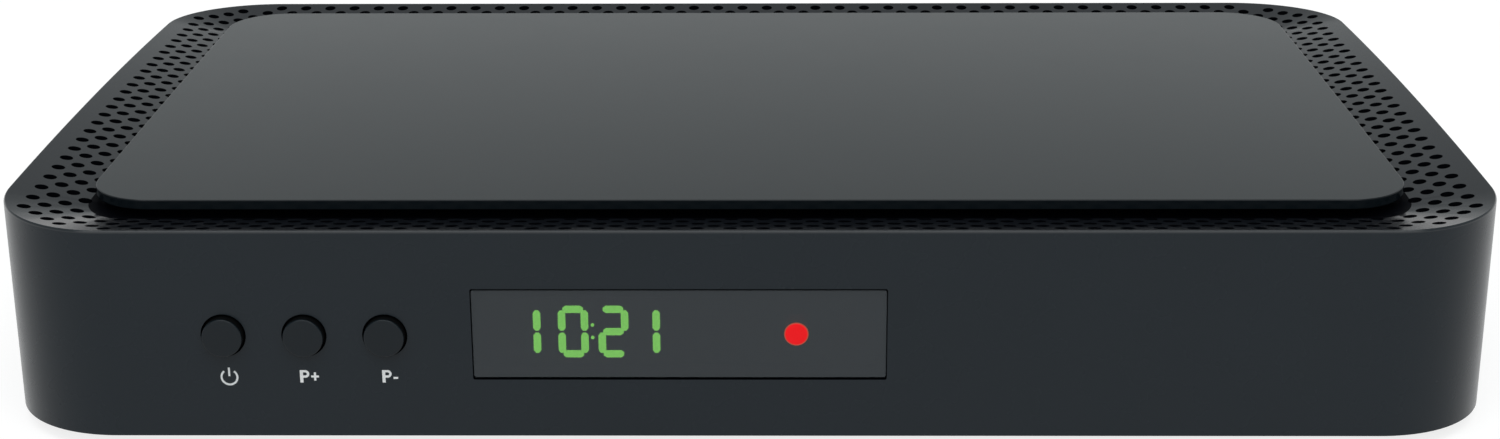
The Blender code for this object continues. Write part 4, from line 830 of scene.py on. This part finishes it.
def window_recess():
    """Cutter for the recess that the pane lies in."""
    edges = grown(window_edges(), WINDOW_GROOVE_X, WINDOW_GROOVE_Z)
    front = HOUSING_LOW.y
    # The walls of the recess take the painted shade
    return prism(bmesh.new(), rounded_outline(edges, GAP, WINDOW_CORNER_STEPS), front - OVERRUN,
                 front + WINDOW_RECESS, SHADE)


def window_opening():
    """Outline of the opening behind the pane."""
    edges = grown(face_edges(WINDOW_LOW, WINDOW_HIGH), -WINDOW_LEDGE, -WINDOW_LEDGE)
    return rounded_outline(edges, WINDOW_LEDGE, WINDOW_CORNER_STEPS)


def wall_openings():
    """Cutters for the openings of the front and rear walls."""
    openings = bmesh.new()
    front, rear = HOUSING_LOW.y, HOUSING_HIGH.y
    prism(openings, window_opening(), front, front + WALL + OVERRUN)
    low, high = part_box("rear_panel")
    edges = (low.x + REAR_LAP, HOUSING_LOW.z + REAR_SILL, high.x - REAR_LAP, high.z - REAR_HEAD)
    prism(openings, rounded_outline(edges, REAR_RADIUS), rear - WALL - OVERRUN, rear + OVERRUN)
    return openings


def add_housing():
    """The housing: walls, rim and dished vent sheet in one skin, with all their openings."""
    body = housing_body()
    for cutter in (round_holes(), window_recess(), wall_openings()):
        body = cut(body, cutter)
    stands_for = ("upper_housing", "vent_panel")
    add_piece("housing_shell", body, HOUSING_FINISHES, stands_for=stands_for, weighted=True)


# Top plate


def plate_rise(y):
    """Height that the plate gains at a depth: a slight tilt and a faint arch."""
    share = (y - PLATE_LOW.y) / (PLATE_HIGH.y + PLATE_TAIL - PLATE_LOW.y)
    return PLATE_TILT * share + PLATE_CROWN * 4 * share * (1 - share)


def plate_outline(inset):
    """Points round the plate at an inset from its edge."""
    side = PLATE_TRIM + PLATE_RADIUS
    return ring_outline(PLATE_LOW.x + side, PLATE_HIGH.x - side, PLATE_LOW.y + PLATE_RADIUS,
                        PLATE_HIGH.y + PLATE_TAIL - PLATE_RADIUS, PLATE_RADIUS - inset, PLATE_SLICES,
                        PLATE_SLICES)


def plate_rings(bottom, top):
    """The section of the plate's edge as (inset, height), from its underside to its top."""
    curve = [(PLATE_EDGE * (1 - math.sin(angle)), PLATE_EDGE * (1 - math.cos(angle)))
             for angle in quarter(PLATE_EDGE_STEPS)]
    lower = [(inset, bottom + rise) for inset, rise in curve]
    upper = [(inset, top - drop) for drop, inset in curve]
    return [*lower, (0.0, bottom + PLATE_EDGE + SUPPORT), (0.0, top - PLATE_EDGE - SUPPORT), *upper]


def add_peg(bm, x, y, bottom):
    """A short round leg from the vent sheet up into the plate."""
    foot = HOUSING_LOW.z + dish_height(DISH_INSET) + crown_rise(y - HOUSING_LOW.y) + GAP
    reach = bottom + plate_rise(y) + PLATE_THICKNESS / 2 - foot
    tip = PEG_RADIUS - PLATE_EDGE
    profile = ((0, 0), (tip, 0), (PEG_RADIUS, PLATE_EDGE), (PEG_RADIUS, reach), (0, reach))
    lathe(bm, profile, Vector((x, y, foot)), "up")


def add_plate():
    """The floating slab with softened edges and its four short legs."""
    bm = bmesh.new()
    top = PLATE_HIGH.z
    bottom = top - PLATE_THICKNESS
    made = []
    for inset, height in plate_rings(bottom, top):
        made.append([bm.verts.new((x, y, height + plate_rise(y))) for x, y in plate_outline(inset)])
    skin(bm, made)
    for ring in (made[0], made[-1]):
        close_middle(bm, ring)
    for x in (-PEG_X, PEG_X):
        for y in (PLATE_LOW.y + PEG_INSET, PLATE_HIGH.y - PEG_INSET):
            add_peg(bm, x, y, bottom)
    add_piece("plate_slab", bm, "plate_plastic", stands_for=("top_plate",), weighted=True)


# Window and display


def segment(bm, start, end, near, far):
    """One bar of a digit between two corners of its grid: a long hexagon with blunt tips."""
    start, end = Vector(start), Vector(end)
    along = (end - start).normalized()
    across = Vector((-along.y, along.x))
    half = SEGMENT_THICKNESS / 2
    points = []
    for tip, side in ((start + along * SEGMENT_GAP, 1), (end - along * SEGMENT_GAP, -1)):
        shoulder = tip + along * side * half * SEGMENT_TAPER
        points += [shoulder + across * side * half, tip + across * side * half * SEGMENT_BLUNT,
                   tip - across * side * half * SEGMENT_BLUNT, shoulder - across * side * half]
    prism(bm, [tuple(point) for point in points], near, far)


def digit_segments(left, names):
    """Starts and ends of the named bars of a digit whose left edge is given."""
    half = SEGMENT_THICKNESS / 2
    reach = DIGIT_HEIGHT / 2 - half
    low, middle, high = (HOUSING_LOW.z + DIGIT_CENTRE_Z + side * reach for side in (-1, 0, 1))
    near, far = left + half, left + DIGIT_WIDTH - half
    ends = {
        "top": ((near, high), (far, high)),
        "middle": ((near, middle), (far, middle)),
        "bottom": ((near, low), (far, low)),
        "upper_left": ((near, middle), (near, high)),
        "upper_right": ((far, middle), (far, high)),
        "lower_left": ((near, low), (near, middle)),
        "lower_right": ((far, low), (far, middle)),
    }
    return [ends[name] for name in names]


def add_display():
    """The lit digits on the face of the display module: a plain time."""
    bm = bmesh.new()
    module_low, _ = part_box("display_module")
    far = module_low.y - SEGMENT_DEPTH
    near = far - SEGMENT_DEPTH
    ones = [centre + SEGMENT_THICKNESS / 2 - DIGIT_WIDTH for centre in DIGIT_ONES]
    for left, names in zip((*DIGIT_LEFTS, *ones), (ZERO, TWO, ONE, ONE)):
        for start, end in digit_segments(left, names):
            segment(bm, start, end, near, far)
    for z in COLON_ZS:
        place = Vector((COLON_X, near, HOUSING_LOW.z + z))
        lathe(bm, rod(COLON_RADIUS, SEGMENT_DEPTH), place, sides=COLON_SIDES)
    add_piece("display_digits", bm, "display_lit", slot="display_body")


def add_pane(lens):
    """The smoked pane, with softened edges and a round hole for the standby lens."""
    pane = bmesh.new()
    near, far = WINDOW_LOW.y, WINDOW_HIGH.y
    rings = []
    for inset, depth in ((WINDOW_EDGE, near), (0.0, near + WINDOW_EDGE), (0.0, far)):
        points = rounded_outline(grown(window_edges(), -inset, -inset), GAP, WINDOW_CORNER_STEPS)
        rings.append([pane.verts.new((x, depth, z)) for x, z in points])
    skin(pane, rings)
    pane.faces.new(rings[0])
    pane.faces.new(rings[-1])
    profile = rod(LENS_RADIUS + LENS_RING + LENS_GAP, far - near + 2 * OVERRUN)
    hole = lathe(bmesh.new(), profile, on_axis(lens, near - OVERRUN))
    add_piece("window_pane", cut(pane, hole), "window_smoke", stands_for=("display_window",), weighted=True)


def add_lens(lens):
    """The domed standby lens and the pale rim round it."""
    place = on_axis(lens, WINDOW_LOW.y)
    dome = [(LENS_RADIUS * math.sin(angle), LENS_DOME * math.cos(angle)) for angle in quarter(LENS_STEPS)]
    bm = lathe(bmesh.new(), [*dome, (LENS_RADIUS, -LENS_LENGTH), (0, -LENS_LENGTH)], place, "front")
    add_piece("standby_window", bm, "standby_red", stands_for=("standby_lens",))
    outer = LENS_RADIUS + LENS_RING
    profile = ((LENS_RADIUS, -LENS_LENGTH), (LENS_RADIUS, 0), (outer, 0), (outer, -LENS_LENGTH),
               (LENS_RADIUS, -LENS_LENGTH))
    add_turned("standby_rim", profile, place, "standby_ring", "front", slot="standby_red")


def add_backing():
    """The plain sheet behind the pane, open at the display and at the lens."""
    back = HOUSING_LOW.y + WALL
    backing = prism(bmesh.new(), window_opening(), back - GAP, back)
    hole = bmesh.new()
    for node in ("display_module", "standby_lens"):
        low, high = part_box(node)
        add_box(hole, (low.x, WINDOW_HIGH.y + GAP / 2 - OVERRUN, low.z), (high.x, back + OVERRUN, high.z))
    add_piece("window_backing", cut(backing, hole), "display_body")


def add_window():
    """The pane, the standby lens in it and the sheet behind it."""
    _, _, lens = box_of("standby_lens")
    add_pane(lens)
    add_lens(lens)
    add_backing()


# Buttons and marks


def add_button(name):
    """A round key with a flat face, a rounded rim and a side painted dark as shade."""
    low, high, middle = box_of(name)
    face, foot = low.y, high.y
    rim = BUTTON_RADIUS - BUTTON_ROUNDING
    front = [(0, 0)]
    for angle in quarter(BUTTON_STEPS):
        front.append((rim + BUTTON_ROUNDING * math.sin(angle), -BUTTON_ROUNDING * (1 - math.cos(angle))))
    wall_back = HOUSING_LOW.y + WALL + GAP - face
    tip = face - foot
    stem = tip + BUTTON_STEM_LENGTH
    side = ((BUTTON_RADIUS, -BUTTON_ROUNDING), (BUTTON_RADIUS, -wall_back), (BUTTON_FLANGE, -wall_back),
            (BUTTON_FLANGE, stem), (BUTTON_STEM, stem), (BUTTON_STEM, tip), (0, tip))
    bm = bmesh.new()
    # The side, flange and stem take the second finish, a dark painted shade
    for number, profile in enumerate((front, side)):
        lathe(bm, profile, on_axis(middle, face), "front", material=number)
    weld(bm)
    add_piece(f"{name}_cap", bm, ("button_plastic", "button_side_painted_shade"), body=name, stands_for=(name,))


def arc_strip(bm, centre, inner, outer, ends, near, far):
    """A flat arc of a ring between two angles, in degrees from the right, counter-clockwise."""
    start, end = ends
    outline = []
    for radius, steps in ((outer, range(ARC_STEPS + 1)), (inner, range(ARC_STEPS, -1, -1))):
        for step in steps:
            angle = math.radians(start + (end - start) * step / ARC_STEPS)
            outline.append((centre[0] + radius * math.cos(angle), centre[1] + radius * math.sin(angle)))
    for ring in wall(bm, outline, near, far):
        close_middle(bm, ring)


def bar(bm, low, high, near, far):
    """A flat rectangle of a mark."""
    prism(bm, [(low[0], low[1]), (high[0], low[1]), (high[0], high[1]), (low[0], high[1])], near, far)


def letter_p(bm, left, low, near, far):
    """A bold capital P: a stem and a round bowl."""
    top = low + LETTER_HEIGHT
    stem = left + LETTER_STEM
    bar(bm, (left, low), (stem, top), near, far)
    radius = LETTER_BOWL / 2
    centre = (left + LETTER_WIDTH - radius, top - radius)
    arc_strip(bm, centre, radius - LETTER_STROKE, radius, (-90, 90), near, far)
    for edge in (top, top - LETTER_BOWL + LETTER_STROKE):
        bar(bm, (stem, edge - LETTER_STROKE), (centre[0], edge), near, far)


def channel_sign(bm, left, middle, reach, has_upright, near, far):
    """The plus or the dash beside a letter."""
    half = SIGN_STROKE / 2
    bar(bm, (left, middle - half), (left + reach, middle + half), near, far)
    if has_upright:
        centre = left + reach / 2
        bar(bm, (centre - half, middle + half), (centre + half, middle + PLUS_RISE), near, far)
        bar(bm, (centre - half, middle - PLUS_RISE), (centre + half, middle - half), near, far)


def add_marks():
    """The printed signs under the buttons: a standby sign, P+ and P-."""
    far = HOUSING_LOW.y
    near = far - MARK_DEPTH
    bm = bmesh.new()
    x, z = POWER_MARK[0], POWER_MARK[1] + HOUSING_LOW.z
    inner = POWER_MARK_RADIUS - POWER_MARK_STROKE
    arc_strip(bm, (x, z), inner, POWER_MARK_RADIUS, POWER_MARK_ENDS, near, far)
    half = POWER_MARK_STROKE / 2
    bar(bm, (x - half, z + half), (x + half, z + POWER_MARK_TOP), near, far)
    add_piece("standby_mark", bm, "mark_ink_dim", slot="housing_plastic")

    bm = bmesh.new()
    for (left, rise), height, reach, has_upright in ((PLUS_MARK, PLUS_HEIGHT, PLUS_REACH, True),
                                                     (MINUS_MARK, DASH_HEIGHT, DASH_REACH, False)):
        low = rise + HOUSING_LOW.z
        letter_p(bm, left, low, near, far)
        channel_sign(bm, left + LETTER_WIDTH + SIGN_SPACE, low + height, reach, has_upright, near, far)
    add_piece("channel_marks", bm, "mark_ink", slot="housing_plastic")


# Rear sockets


def threaded_barrel(bm, place, radius, start, end):
    """A cylinder with a screw thread along it, towards the rear."""
    matrix = Matrix.Translation(place) @ TURNS["rear"]
    rows = int((end - start) / THREAD_PITCH * THREAD_ROWS)
    rings = []
    for row in range(rows + 1):
        along = start + (end - start) * row / rows
        fade = min(1.0, row / THREAD_ROWS, (rows - row) / THREAD_ROWS)
        ring = []
        for step in range(ROUND):
            turn = step / ROUND
            phase = (along / THREAD_PITCH - turn) % 1.0
            reach = radius - THREAD_DEPTH * fade * (1 - abs(2 * phase - 1))
            angle = turn * 2 * math.pi
            point = Vector((reach * math.cos(angle), reach * math.sin(angle), along))
            ring.append(bm.verts.new(matrix @ point))
        rings.append(ring)
    skin(bm, rings)


def add_aerial_socket(name):
    """A threaded aerial socket with its white insulator."""
    low, high, middle = box_of(name)
    place = on_axis(middle, low.y)
    length = high.y - low.y
    flange = (high.x - low.x) / 2
    barrel = flange * AERIAL_BARREL_SHARE
    mouth = barrel * AERIAL_MOUTH_SHARE
    lip, well = length - AERIAL_LIP, length - AERIAL_WELL
    bm = bmesh.new()
    lathe(bm, ((0, 0), (flange, 0), (flange, AERIAL_FLANGE), (barrel, AERIAL_FLANGE), (barrel, AERIAL_NECK)),
          place)
    threaded_barrel(bm, place, barrel, AERIAL_NECK, lip)
    lathe(bm, ((barrel, lip), (barrel - AERIAL_LIP_BEVEL, length), (mouth, length), (mouth, well), (0, well)),
          place)
    add_piece(f"{name}_body", weld(bm), "connector_nickel", stands_for=(name,))

    base, face = length - INSULATOR_BASE, length - INSULATOR_FACE
    bore, outer = INSULATOR_BORE, mouth - INSULATOR_SPACE
    profile = ((bore, base), (outer, base), (outer, face - INSULATOR_BEVEL), (outer - INSULATOR_BEVEL, face),
               (bore * INSULATOR_FUNNEL_SHARE, face), (bore, face - INSULATOR_FUNNEL), (bore, base))
    add_turned(f"{name}_insulator", profile, place, "insulator_white", slot="connector_nickel")


def add_aerial_nut(name):
    """A hexagon nut whose corners are chamfered."""
    low, high, middle = box_of(name)
    across = (high.x - low.x) / 2
    corner = across * 2 / math.sqrt(3)
    angles = (math.radians(30 + 60 * step) for step in range(6))
    outline = [(middle.x + corner * math.cos(angle), middle.z + corner * math.sin(angle)) for angle in angles]
    nut = prism(bmesh.new(), outline, low.y, high.y)
    outer = corner * NUT_CUTTER_SHARE
    slope = -(outer - across) * NUT_CHAMFER_SLOPE
    profile = ((across, 0.0), (outer, NUT_CUTTER_RISE), (outer, slope), (across, 0.0))
    chamfer = bmesh.new()
    for facing, base in (("rear", high.y), ("front", low.y)):
        lathe(chamfer, profile, on_axis(middle, base), facing)
    reach = high.y - low.y + 2 * OVERRUN
    hole = lathe(bmesh.new(), rod(across * NUT_BORE_SHARE, reach), on_axis(middle, low.y - OVERRUN))
    for cutter in (weld(chamfer), hole):
        nut = cut(nut, cutter)
    add_piece(f"{name}_hexagon", nut, "connector_nickel", stands_for=(name,), weighted=True)


def contacts(bm, low_x, high_x, count, width, near, far, z, thickness=CONTACT_THICKNESS):
    """A row of flat contact springs in the second finish of their piece."""
    pitch = (high_x - low_x) / count
    for step in range(count):
        centre = low_x + (step + 0.5) * pitch
        add_box(bm, (centre - width / 2, near, z), (centre + width / 2, far, z + thickness), material=1)


def hdmi_outline(low, high, inset):
    """Outline of the video socket at an inset: a flat top over two stepped lower corners."""
    left, bottom, right, top = grown(face_edges(low, high), -inset, -inset)
    drop = HDMI_CHAMFER - inset * HDMI_CHAMFER_SHARE
    knee, hip = drop * HDMI_KNEE, drop * HDMI_HIP
    return [(left + drop, bottom), (right - drop, bottom), (right - knee, bottom + drop),
            (right, bottom + hip), (right, top), (left, top), (left, bottom + hip),
            (left + knee, bottom + drop)]


def add_hdmi_socket():
    """The video socket: a folded shell with chamfered lower corners and a tongue of contacts."""
    low, high, centre = box_of("hdmi_socket")
    outer, inner = (hdmi_outline(low, high, inset) for inset in (0.0, FOLDED_SHEET))
    shell = tray(bmesh.new(), outer, inner, high.y, low.y + SHELL_FLOOR, low.y)
    add_piece("video_shell", shell, "socket_metal", stands_for=("hdmi_socket",))
    middle = centre.z + HDMI_TONGUE_LIFT
    under, over = middle - HDMI_TONGUE_HALF, middle + HDMI_TONGUE_HALF
    tongue = add_box(bmesh.new(), (low.x + HDMI_TONGUE_INSET, low.y + SHELL_FLOOR, under),
                     (high.x - HDMI_TONGUE_INSET, high.y - HDMI_TONGUE_FRONT, over), TONGUE_BEVEL)
    for (inset, count), z in zip(HDMI_CONTACTS, (over, under - CONTACT_THICKNESS)):
        contacts(tongue, low.x + inset, high.x - inset, count, HDMI_CONTACT_WIDTH, low.y + CONTACT_BACK,
                 high.y - HDMI_CONTACT_FRONT, z)
    add_piece("video_tongue", tongue, ("socket_plastic", "gold_contact"), slot="socket_metal")


def add_usb_tabs(shell, low, high):
    """The spring tabs of the data socket, two at its top and two at its bottom."""
    back, front = (high.y - end for end in USB_TAB_ENDS)
    for share in USB_TAB_PLACES:
        x = low.x * (1 - share) + high.x * share
        for bottom in (high.z - FOLDED_SHEET - USB_TAB_DROP, low.z + FOLDED_SHEET):
            add_box(shell, (x - USB_TAB_HALF, back, bottom), (x + USB_TAB_HALF, front, bottom + USB_TAB_DROP),
                    USB_TAB_BEVEL)


def add_usb_socket():
    """The data socket: a folded shell with spring tabs and a tongue with four contacts."""
    low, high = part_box("usb_socket")
    edges = face_edges(low, high)
    outer, inner = (rounded_outline(grown(edges, -inset, -inset), radius, 3)
                    for inset, radius in zip((0.0, FOLDED_SHEET), USB_RADII))
    shell = tray(bmesh.new(), outer, inner, high.y, low.y + SHELL_FLOOR, low.y)
    add_usb_tabs(shell, low, high)
    add_piece("data_shell", shell, "socket_metal", stands_for=("usb_socket",))
    top = high.z - USB_TONGUE_DROP
    under = top - USB_TONGUE_THICKNESS
    tongue = add_box(bmesh.new(), (low.x + USB_TONGUE_INSET, low.y + SHELL_FLOOR, under),
                     (high.x - USB_TONGUE_INSET, high.y - USB_TONGUE_INSET, top), TONGUE_BEVEL)
    contacts(tongue, low.x + USB_CONTACT_INSET, high.x - USB_CONTACT_INSET, USB_CONTACTS, USB_CONTACT_WIDTH,
             low.y + CONTACT_BACK, high.y - USB_CONTACT_FRONT, under - CONTACT_THICKNESS)
    add_piece("data_tongue", tongue, ("socket_plastic", "gold_contact"), slot="socket_metal")


def add_network_liner(high, centre, floor, mouth):
    """The black liner of the network socket with its eight contacts."""
    outer = [(x + math.copysign(LINER_SPACE, centre - x), z) for x, z in mouth]
    inner = [(centre + (x - centre) * LINER_SHARE_X, floor + LINER_SHEET + (z - floor) * LINER_SHARE_Z)
             for x, z in mouth]
    liner = tray(bmesh.new(), outer, inner, *(high.y - depth for depth in LINER_DEPTHS))
    back, front = (high.y - end for end in NETWORK_CONTACT_ENDS)
    contacts(liner, centre - NETWORK_CONTACT_SPAN, centre + NETWORK_CONTACT_SPAN, NETWORK_CONTACTS,
             NETWORK_CONTACT_WIDTH, back, front, floor + NETWORK_CONTACT_LIFT, NETWORK_CONTACT_THICKNESS)
    add_piece("network_liner", liner, ("socket_plastic", "gold_contact"))


def add_network_socket():
    """The network socket: a shielded block with a stepped mouth, its liner and two lamps."""
    low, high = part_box("network_socket")
    centre = (low.x + high.x) / 2
    mouth = [(centre + x, low.z + z) for x, z in NETWORK_MOUTH]
    shell = add_box(bmesh.new(), low, high, NETWORK_BEVEL)
    hollow = prism(bmesh.new(), mouth, high.y - NETWORK_DEPTH, high.y + OVERRUN)
    near, far = LAMP_INSETS
    bottom, top = (high.z - drop for drop in LAMP_DROPS)
    lamps = ((low.x + near, low.x + far), (high.x - far, high.x - near))
    for left, right in lamps:
        add_box(hollow, (left, high.y - LAMP_DEPTH, bottom), (right, high.y + OVERRUN, top))
    shell = cut(shell, hollow)
    add_piece("network_shell", shell, "socket_metal", stands_for=("network_socket",), weighted=True)
    add_network_liner(high, centre, low.z + NETWORK_FLOOR, mouth)
    for (left, right), lamp in zip(lamps, ("amber", "green")):
        corner = (left + LAMP_SPACE, high.y - LAMP_DEPTH + LAMP_SPACE, bottom + LAMP_SPACE)
        lens = add_box(bmesh.new(), corner, (right - LAMP_SPACE, high.y, top - LAMP_SPACE), LAMP_BEVEL)
        add_piece(f"network_lamp_{lamp}", lens, f"lamp_{lamp}", slot="socket_plastic")


def add_socket_block(name, node):
    """Add the plastic block of a round socket, and return its end at the panel and its reach from there."""
    low, high, middle = box_of(node)
    panel_low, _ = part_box("rear_panel")
    back = panel_low.y - GAP
    block = add_box(bmesh.new(), low, (high.x, back, high.z), BLOCK_BEVEL)
    add_piece(name, block, "socket_plastic", stands_for=(node,))
    return on_axis(middle, back), high.y - panel_low.y


def add_audio_socket():
    """The coaxial sound socket: a metal barrel round a coloured insulator."""
    place, reach = add_socket_block("sound_block", "digital_audio_socket")
    rim = [(SOUND_RADIUS - inset, reach + past) for inset, past in SOUND_RIM]
    start = (SOUND_BORE, 0.0)
    barrel = (start, (SOUND_RADIUS, 0.0), *rim, (SOUND_BORE, reach + GAP), start)
    add_turned("sound_barrel", barrel, place, "connector_nickel")
    start = (SOUND_INSULATOR_BORE, SOUND_INSULATOR_BASE)
    rim = [(SOUND_INSULATOR_RADIUS - inset, reach + past) for inset, past in SOUND_INSULATOR_RIM]
    insulator = (start, (SOUND_INSULATOR_RADIUS, SOUND_INSULATOR_BASE), *rim, start)
    add_turned("sound_insulator", insulator, place, "insulator_orange", slot="socket_plastic")


def add_jack():
    """The small jack: a black block with a coloured collar."""
    place, reach = add_socket_block("jack_block", "av_jack")
    face = reach + GAP
    start = (JACK_BORE, 0.0)
    collar = (start, (JACK_RADIUS, 0.0), (JACK_RADIUS, face - JACK_EDGE), (JACK_RADIUS - JACK_EDGE, face),
              (JACK_BORE + JACK_FUNNEL, face), (JACK_BORE, face - JACK_FUNNEL), start)
    add_turned("jack_collar", collar, place, "insulator_yellow", slot="socket_plastic")


def add_power_socket():
    """The direct current inlet: a block with a round bore and a centre pin."""
    low, high, middle = box_of("power_socket")
    place = on_axis(middle, high.y - POWER_DEPTH)
    end = POWER_DEPTH + POWER_BEVEL
    bore = ((0, 0), (POWER_BORE, 0), (POWER_BORE, POWER_DEPTH), (POWER_BORE + POWER_BEVEL, end), (0, end))
    block = add_box(bmesh.new(), low, high, POWER_BEVEL)
    block = cut(block, lathe(bmesh.new(), bore, place))
    add_piece("power_block", block, "socket_plastic", stands_for=("power_socket",), weighted=True)
    tip = POWER_DEPTH - POWER_PIN_SHORT
    points = [(POWER_PIN * share, tip - POWER_PIN * drop) for share, drop in POWER_TIP]
    add_turned("power_centre_pin", ((0, 0), (POWER_PIN, 0), *points, (0, tip)), place, "connector_nickel")


def add_rear_panel():
    """The painted sheet behind the rear opening, with a hole round each socket."""
    low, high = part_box("rear_panel")
    near, far = low.y - OVERRUN, high.y + OVERRUN
    sheet = add_box(bmesh.new(), low, high, PANEL_BEVEL)
    holes = bmesh.new()
    for node in PANEL_SLOTS:
        prism(holes, rounded_outline(grown(face_edges(*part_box(node)), GAP, GAP), GAP), near, far)
    for node, radius in PANEL_HOLES:
        _, _, middle = box_of(node)
        lathe(holes, rod(radius, high.y - low.y + 2 * OVERRUN), on_axis(middle, near))
    add_piece("socket_panel", cut(sheet, holes), "panel_steel", stands_for=("rear_panel",), weighted=True)


# Underside


def add_foot(name):
    """A rubber foot with a rounded tread and a shallow ring."""
    low, high, middle = box_of(name)
    radius, height = (high.x - low.x) / 2, high.z - low.z
    tread = [(radius * share, rise) for share, rise in FOOT_TREAD]
    edge = [(radius - inset, rise) for inset, rise in FOOT_EDGE]
    place = Vector((middle.x, middle.y, low.z))
    profile = [*tread, *edge, (radius, height), (0, height)]
    add_turned(f"{name}_tread", profile, place, "foot_rubber", "up", stands_for=(name,))


def add_screw(name):
    """A pan-head screw with a cross recess, seen from below."""
    low, high, middle = box_of(name)
    head, height = (high.x - low.x) / 2, high.z - low.z
    shank = head * SCREW_SHANK
    profile = [*((head * share, rise) for share, rise in SCREW_HEAD), (shank, height), (0, height)]
    bm = lathe(bmesh.new(), profile, Vector((middle.x, middle.y, low.z)), "up")
    length, width = head * CROSS_LENGTH, head * CROSS_WIDTH
    for half_x, half_y in ((length, width), (width, length)):
        arm = add_box(bmesh.new(), (middle.x - half_x, middle.y - half_y, low.z - OVERRUN),
                      (middle.x + half_x, middle.y + half_y, low.z + CROSS_DEPTH))
        bm = cut(bm, arm)
    add_piece(f"{name}_head", bm, "screw_steel", stands_for=(name,), weighted=True)


# Everything that stays as the frame has it gets its finish


def dress_nodes():
    """Give each node of the frame the finish of its slot."""
    slots = {entry["node"]: entry["material_slot"] for entry in frame["record"]["subparts"]}
    for name, obj in frame["nodes"].items():
        obj.data.materials.clear()
        obj.data.materials.append(MATERIALS[slots[name]])


# Studio


def floor_material():
    """A grey that looks white, and keeps shadows, to the camera and in gloss and clear plastic."""
    material, tree, shader = new_material("studio_floor")
    path = add_node(tree, "LightPath", {})
    seen = path.outputs["Is Camera Ray"]
    for ray in ("Is Glossy Ray", "Is Transmission Ray"):
        seen = add_node(tree, "Math", {0: seen, 1: path.outputs[ray]}, operation="MAXIMUM").outputs[0]
    strength = add_node(tree, "Math", {0: seen, 1: FLOOR_GLOW}, operation="MULTIPLY").outputs[0]
    fill(tree, shader, {"Base Color": (FLOOR_SHADE, FLOOR_SHADE, FLOOR_SHADE, 1.0), "Roughness": 0.9,
                        "Specular IOR Level": 0.0, "Emission Color": (1.0, 1.0, 1.0, 1.0),
                        "Emission Strength": strength})
    return material


def add_floor():
    """A wide white floor that curves up to a low rim."""
    profile = [(radius, 0) for radius in FLOOR_RADII]
    for angle in quarter(FLOOR_CURVE_STEPS)[1:]:
        profile.append((FLOOR_RADII[-1] + FLOOR_CURVE * math.sin(angle), FLOOR_CURVE * (1 - math.cos(angle))))
    floor = new_object("studio_floor", lathe(bmesh.new(), profile, Vector((0, 0, 0)), "up", FLOOR_SIDES))
    floor.data.shade_smooth()
    floor.data.materials.append(floor_material())


def add_lamp(name, place, size, power):
    """A soft box that looks at the receiver."""
    lamp = bpy.data.lights.new(name, "AREA")
    lamp.shape = "RECTANGLE"
    lamp.size, lamp.size_y = size
    lamp.energy = power
    obj = bpy.data.objects.new(name, lamp)
    obj.location = place
    obj.rotation_euler = (-Vector(place)).to_track_quat("-Z", "Y").to_euler()
    bpy.context.scene.collection.objects.link(obj)


def add_world():
    """A pale world, lighter at the horizon than overhead."""
    world = bpy.data.worlds.new("studio")
    world.use_nodes = True
    tree = world.node_tree
    direction = add_node(tree, "TexCoord", {}).outputs["Generated"]
    split = add_node(tree, "SeparateXYZ", {"Vector": direction})
    strength = map_range(tree, split.outputs["Z"], *WORLD_RISE, *WORLD_LIGHT)
    fill(tree, tree.nodes["Background"], {"Color": WORLD_COLOUR, "Strength": strength})
    bpy.context.scene.world = world


def add_camera():
    """The camera of the photograph."""
    data = bpy.data.cameras.new("camera")
    data.sensor_width = 36.0
    data.lens = CAMERA_LENS
    data.clip_start = 0.01
    camera = bpy.data.objects.new("camera", data)
    turn = Matrix.Rotation(-CAMERA_YAW, 4, "Z") @ Matrix.Rotation(math.pi / 2 - CAMERA_PITCH, 4, "X")
    camera.matrix_world = Matrix.Translation(at(*CAMERA_PLACE)) @ turn @ Matrix.Rotation(CAMERA_ROLL, 4, "Z")
    bpy.context.scene.collection.objects.link(camera)
    bpy.context.scene.camera = camera


dress_nodes()
add_housing()
add_plate()
add_window()
add_display()
for button in BUTTONS:
    add_button(button)
add_marks()
add_rear_panel()
for aerial in ("aerial_input", "aerial_loop"):
    add_aerial_socket(f"{aerial}_socket")
    add_aerial_nut(f"{aerial}_nut")
add_hdmi_socket()
add_usb_socket()
add_network_socket()
add_audio_socket()
add_jack()
add_power_socket()
for corner in ("front_left", "front_right", "rear_left", "rear_right"):
    add_foot(f"foot_{corner}")
    add_screw(f"housing_screw_{corner}")
add_world()
for lamp in LAMPS:
    add_lamp(*lamp)
add_floor()
add_camera()
bpy.context.scene.view_settings.view_transform = "Standard"
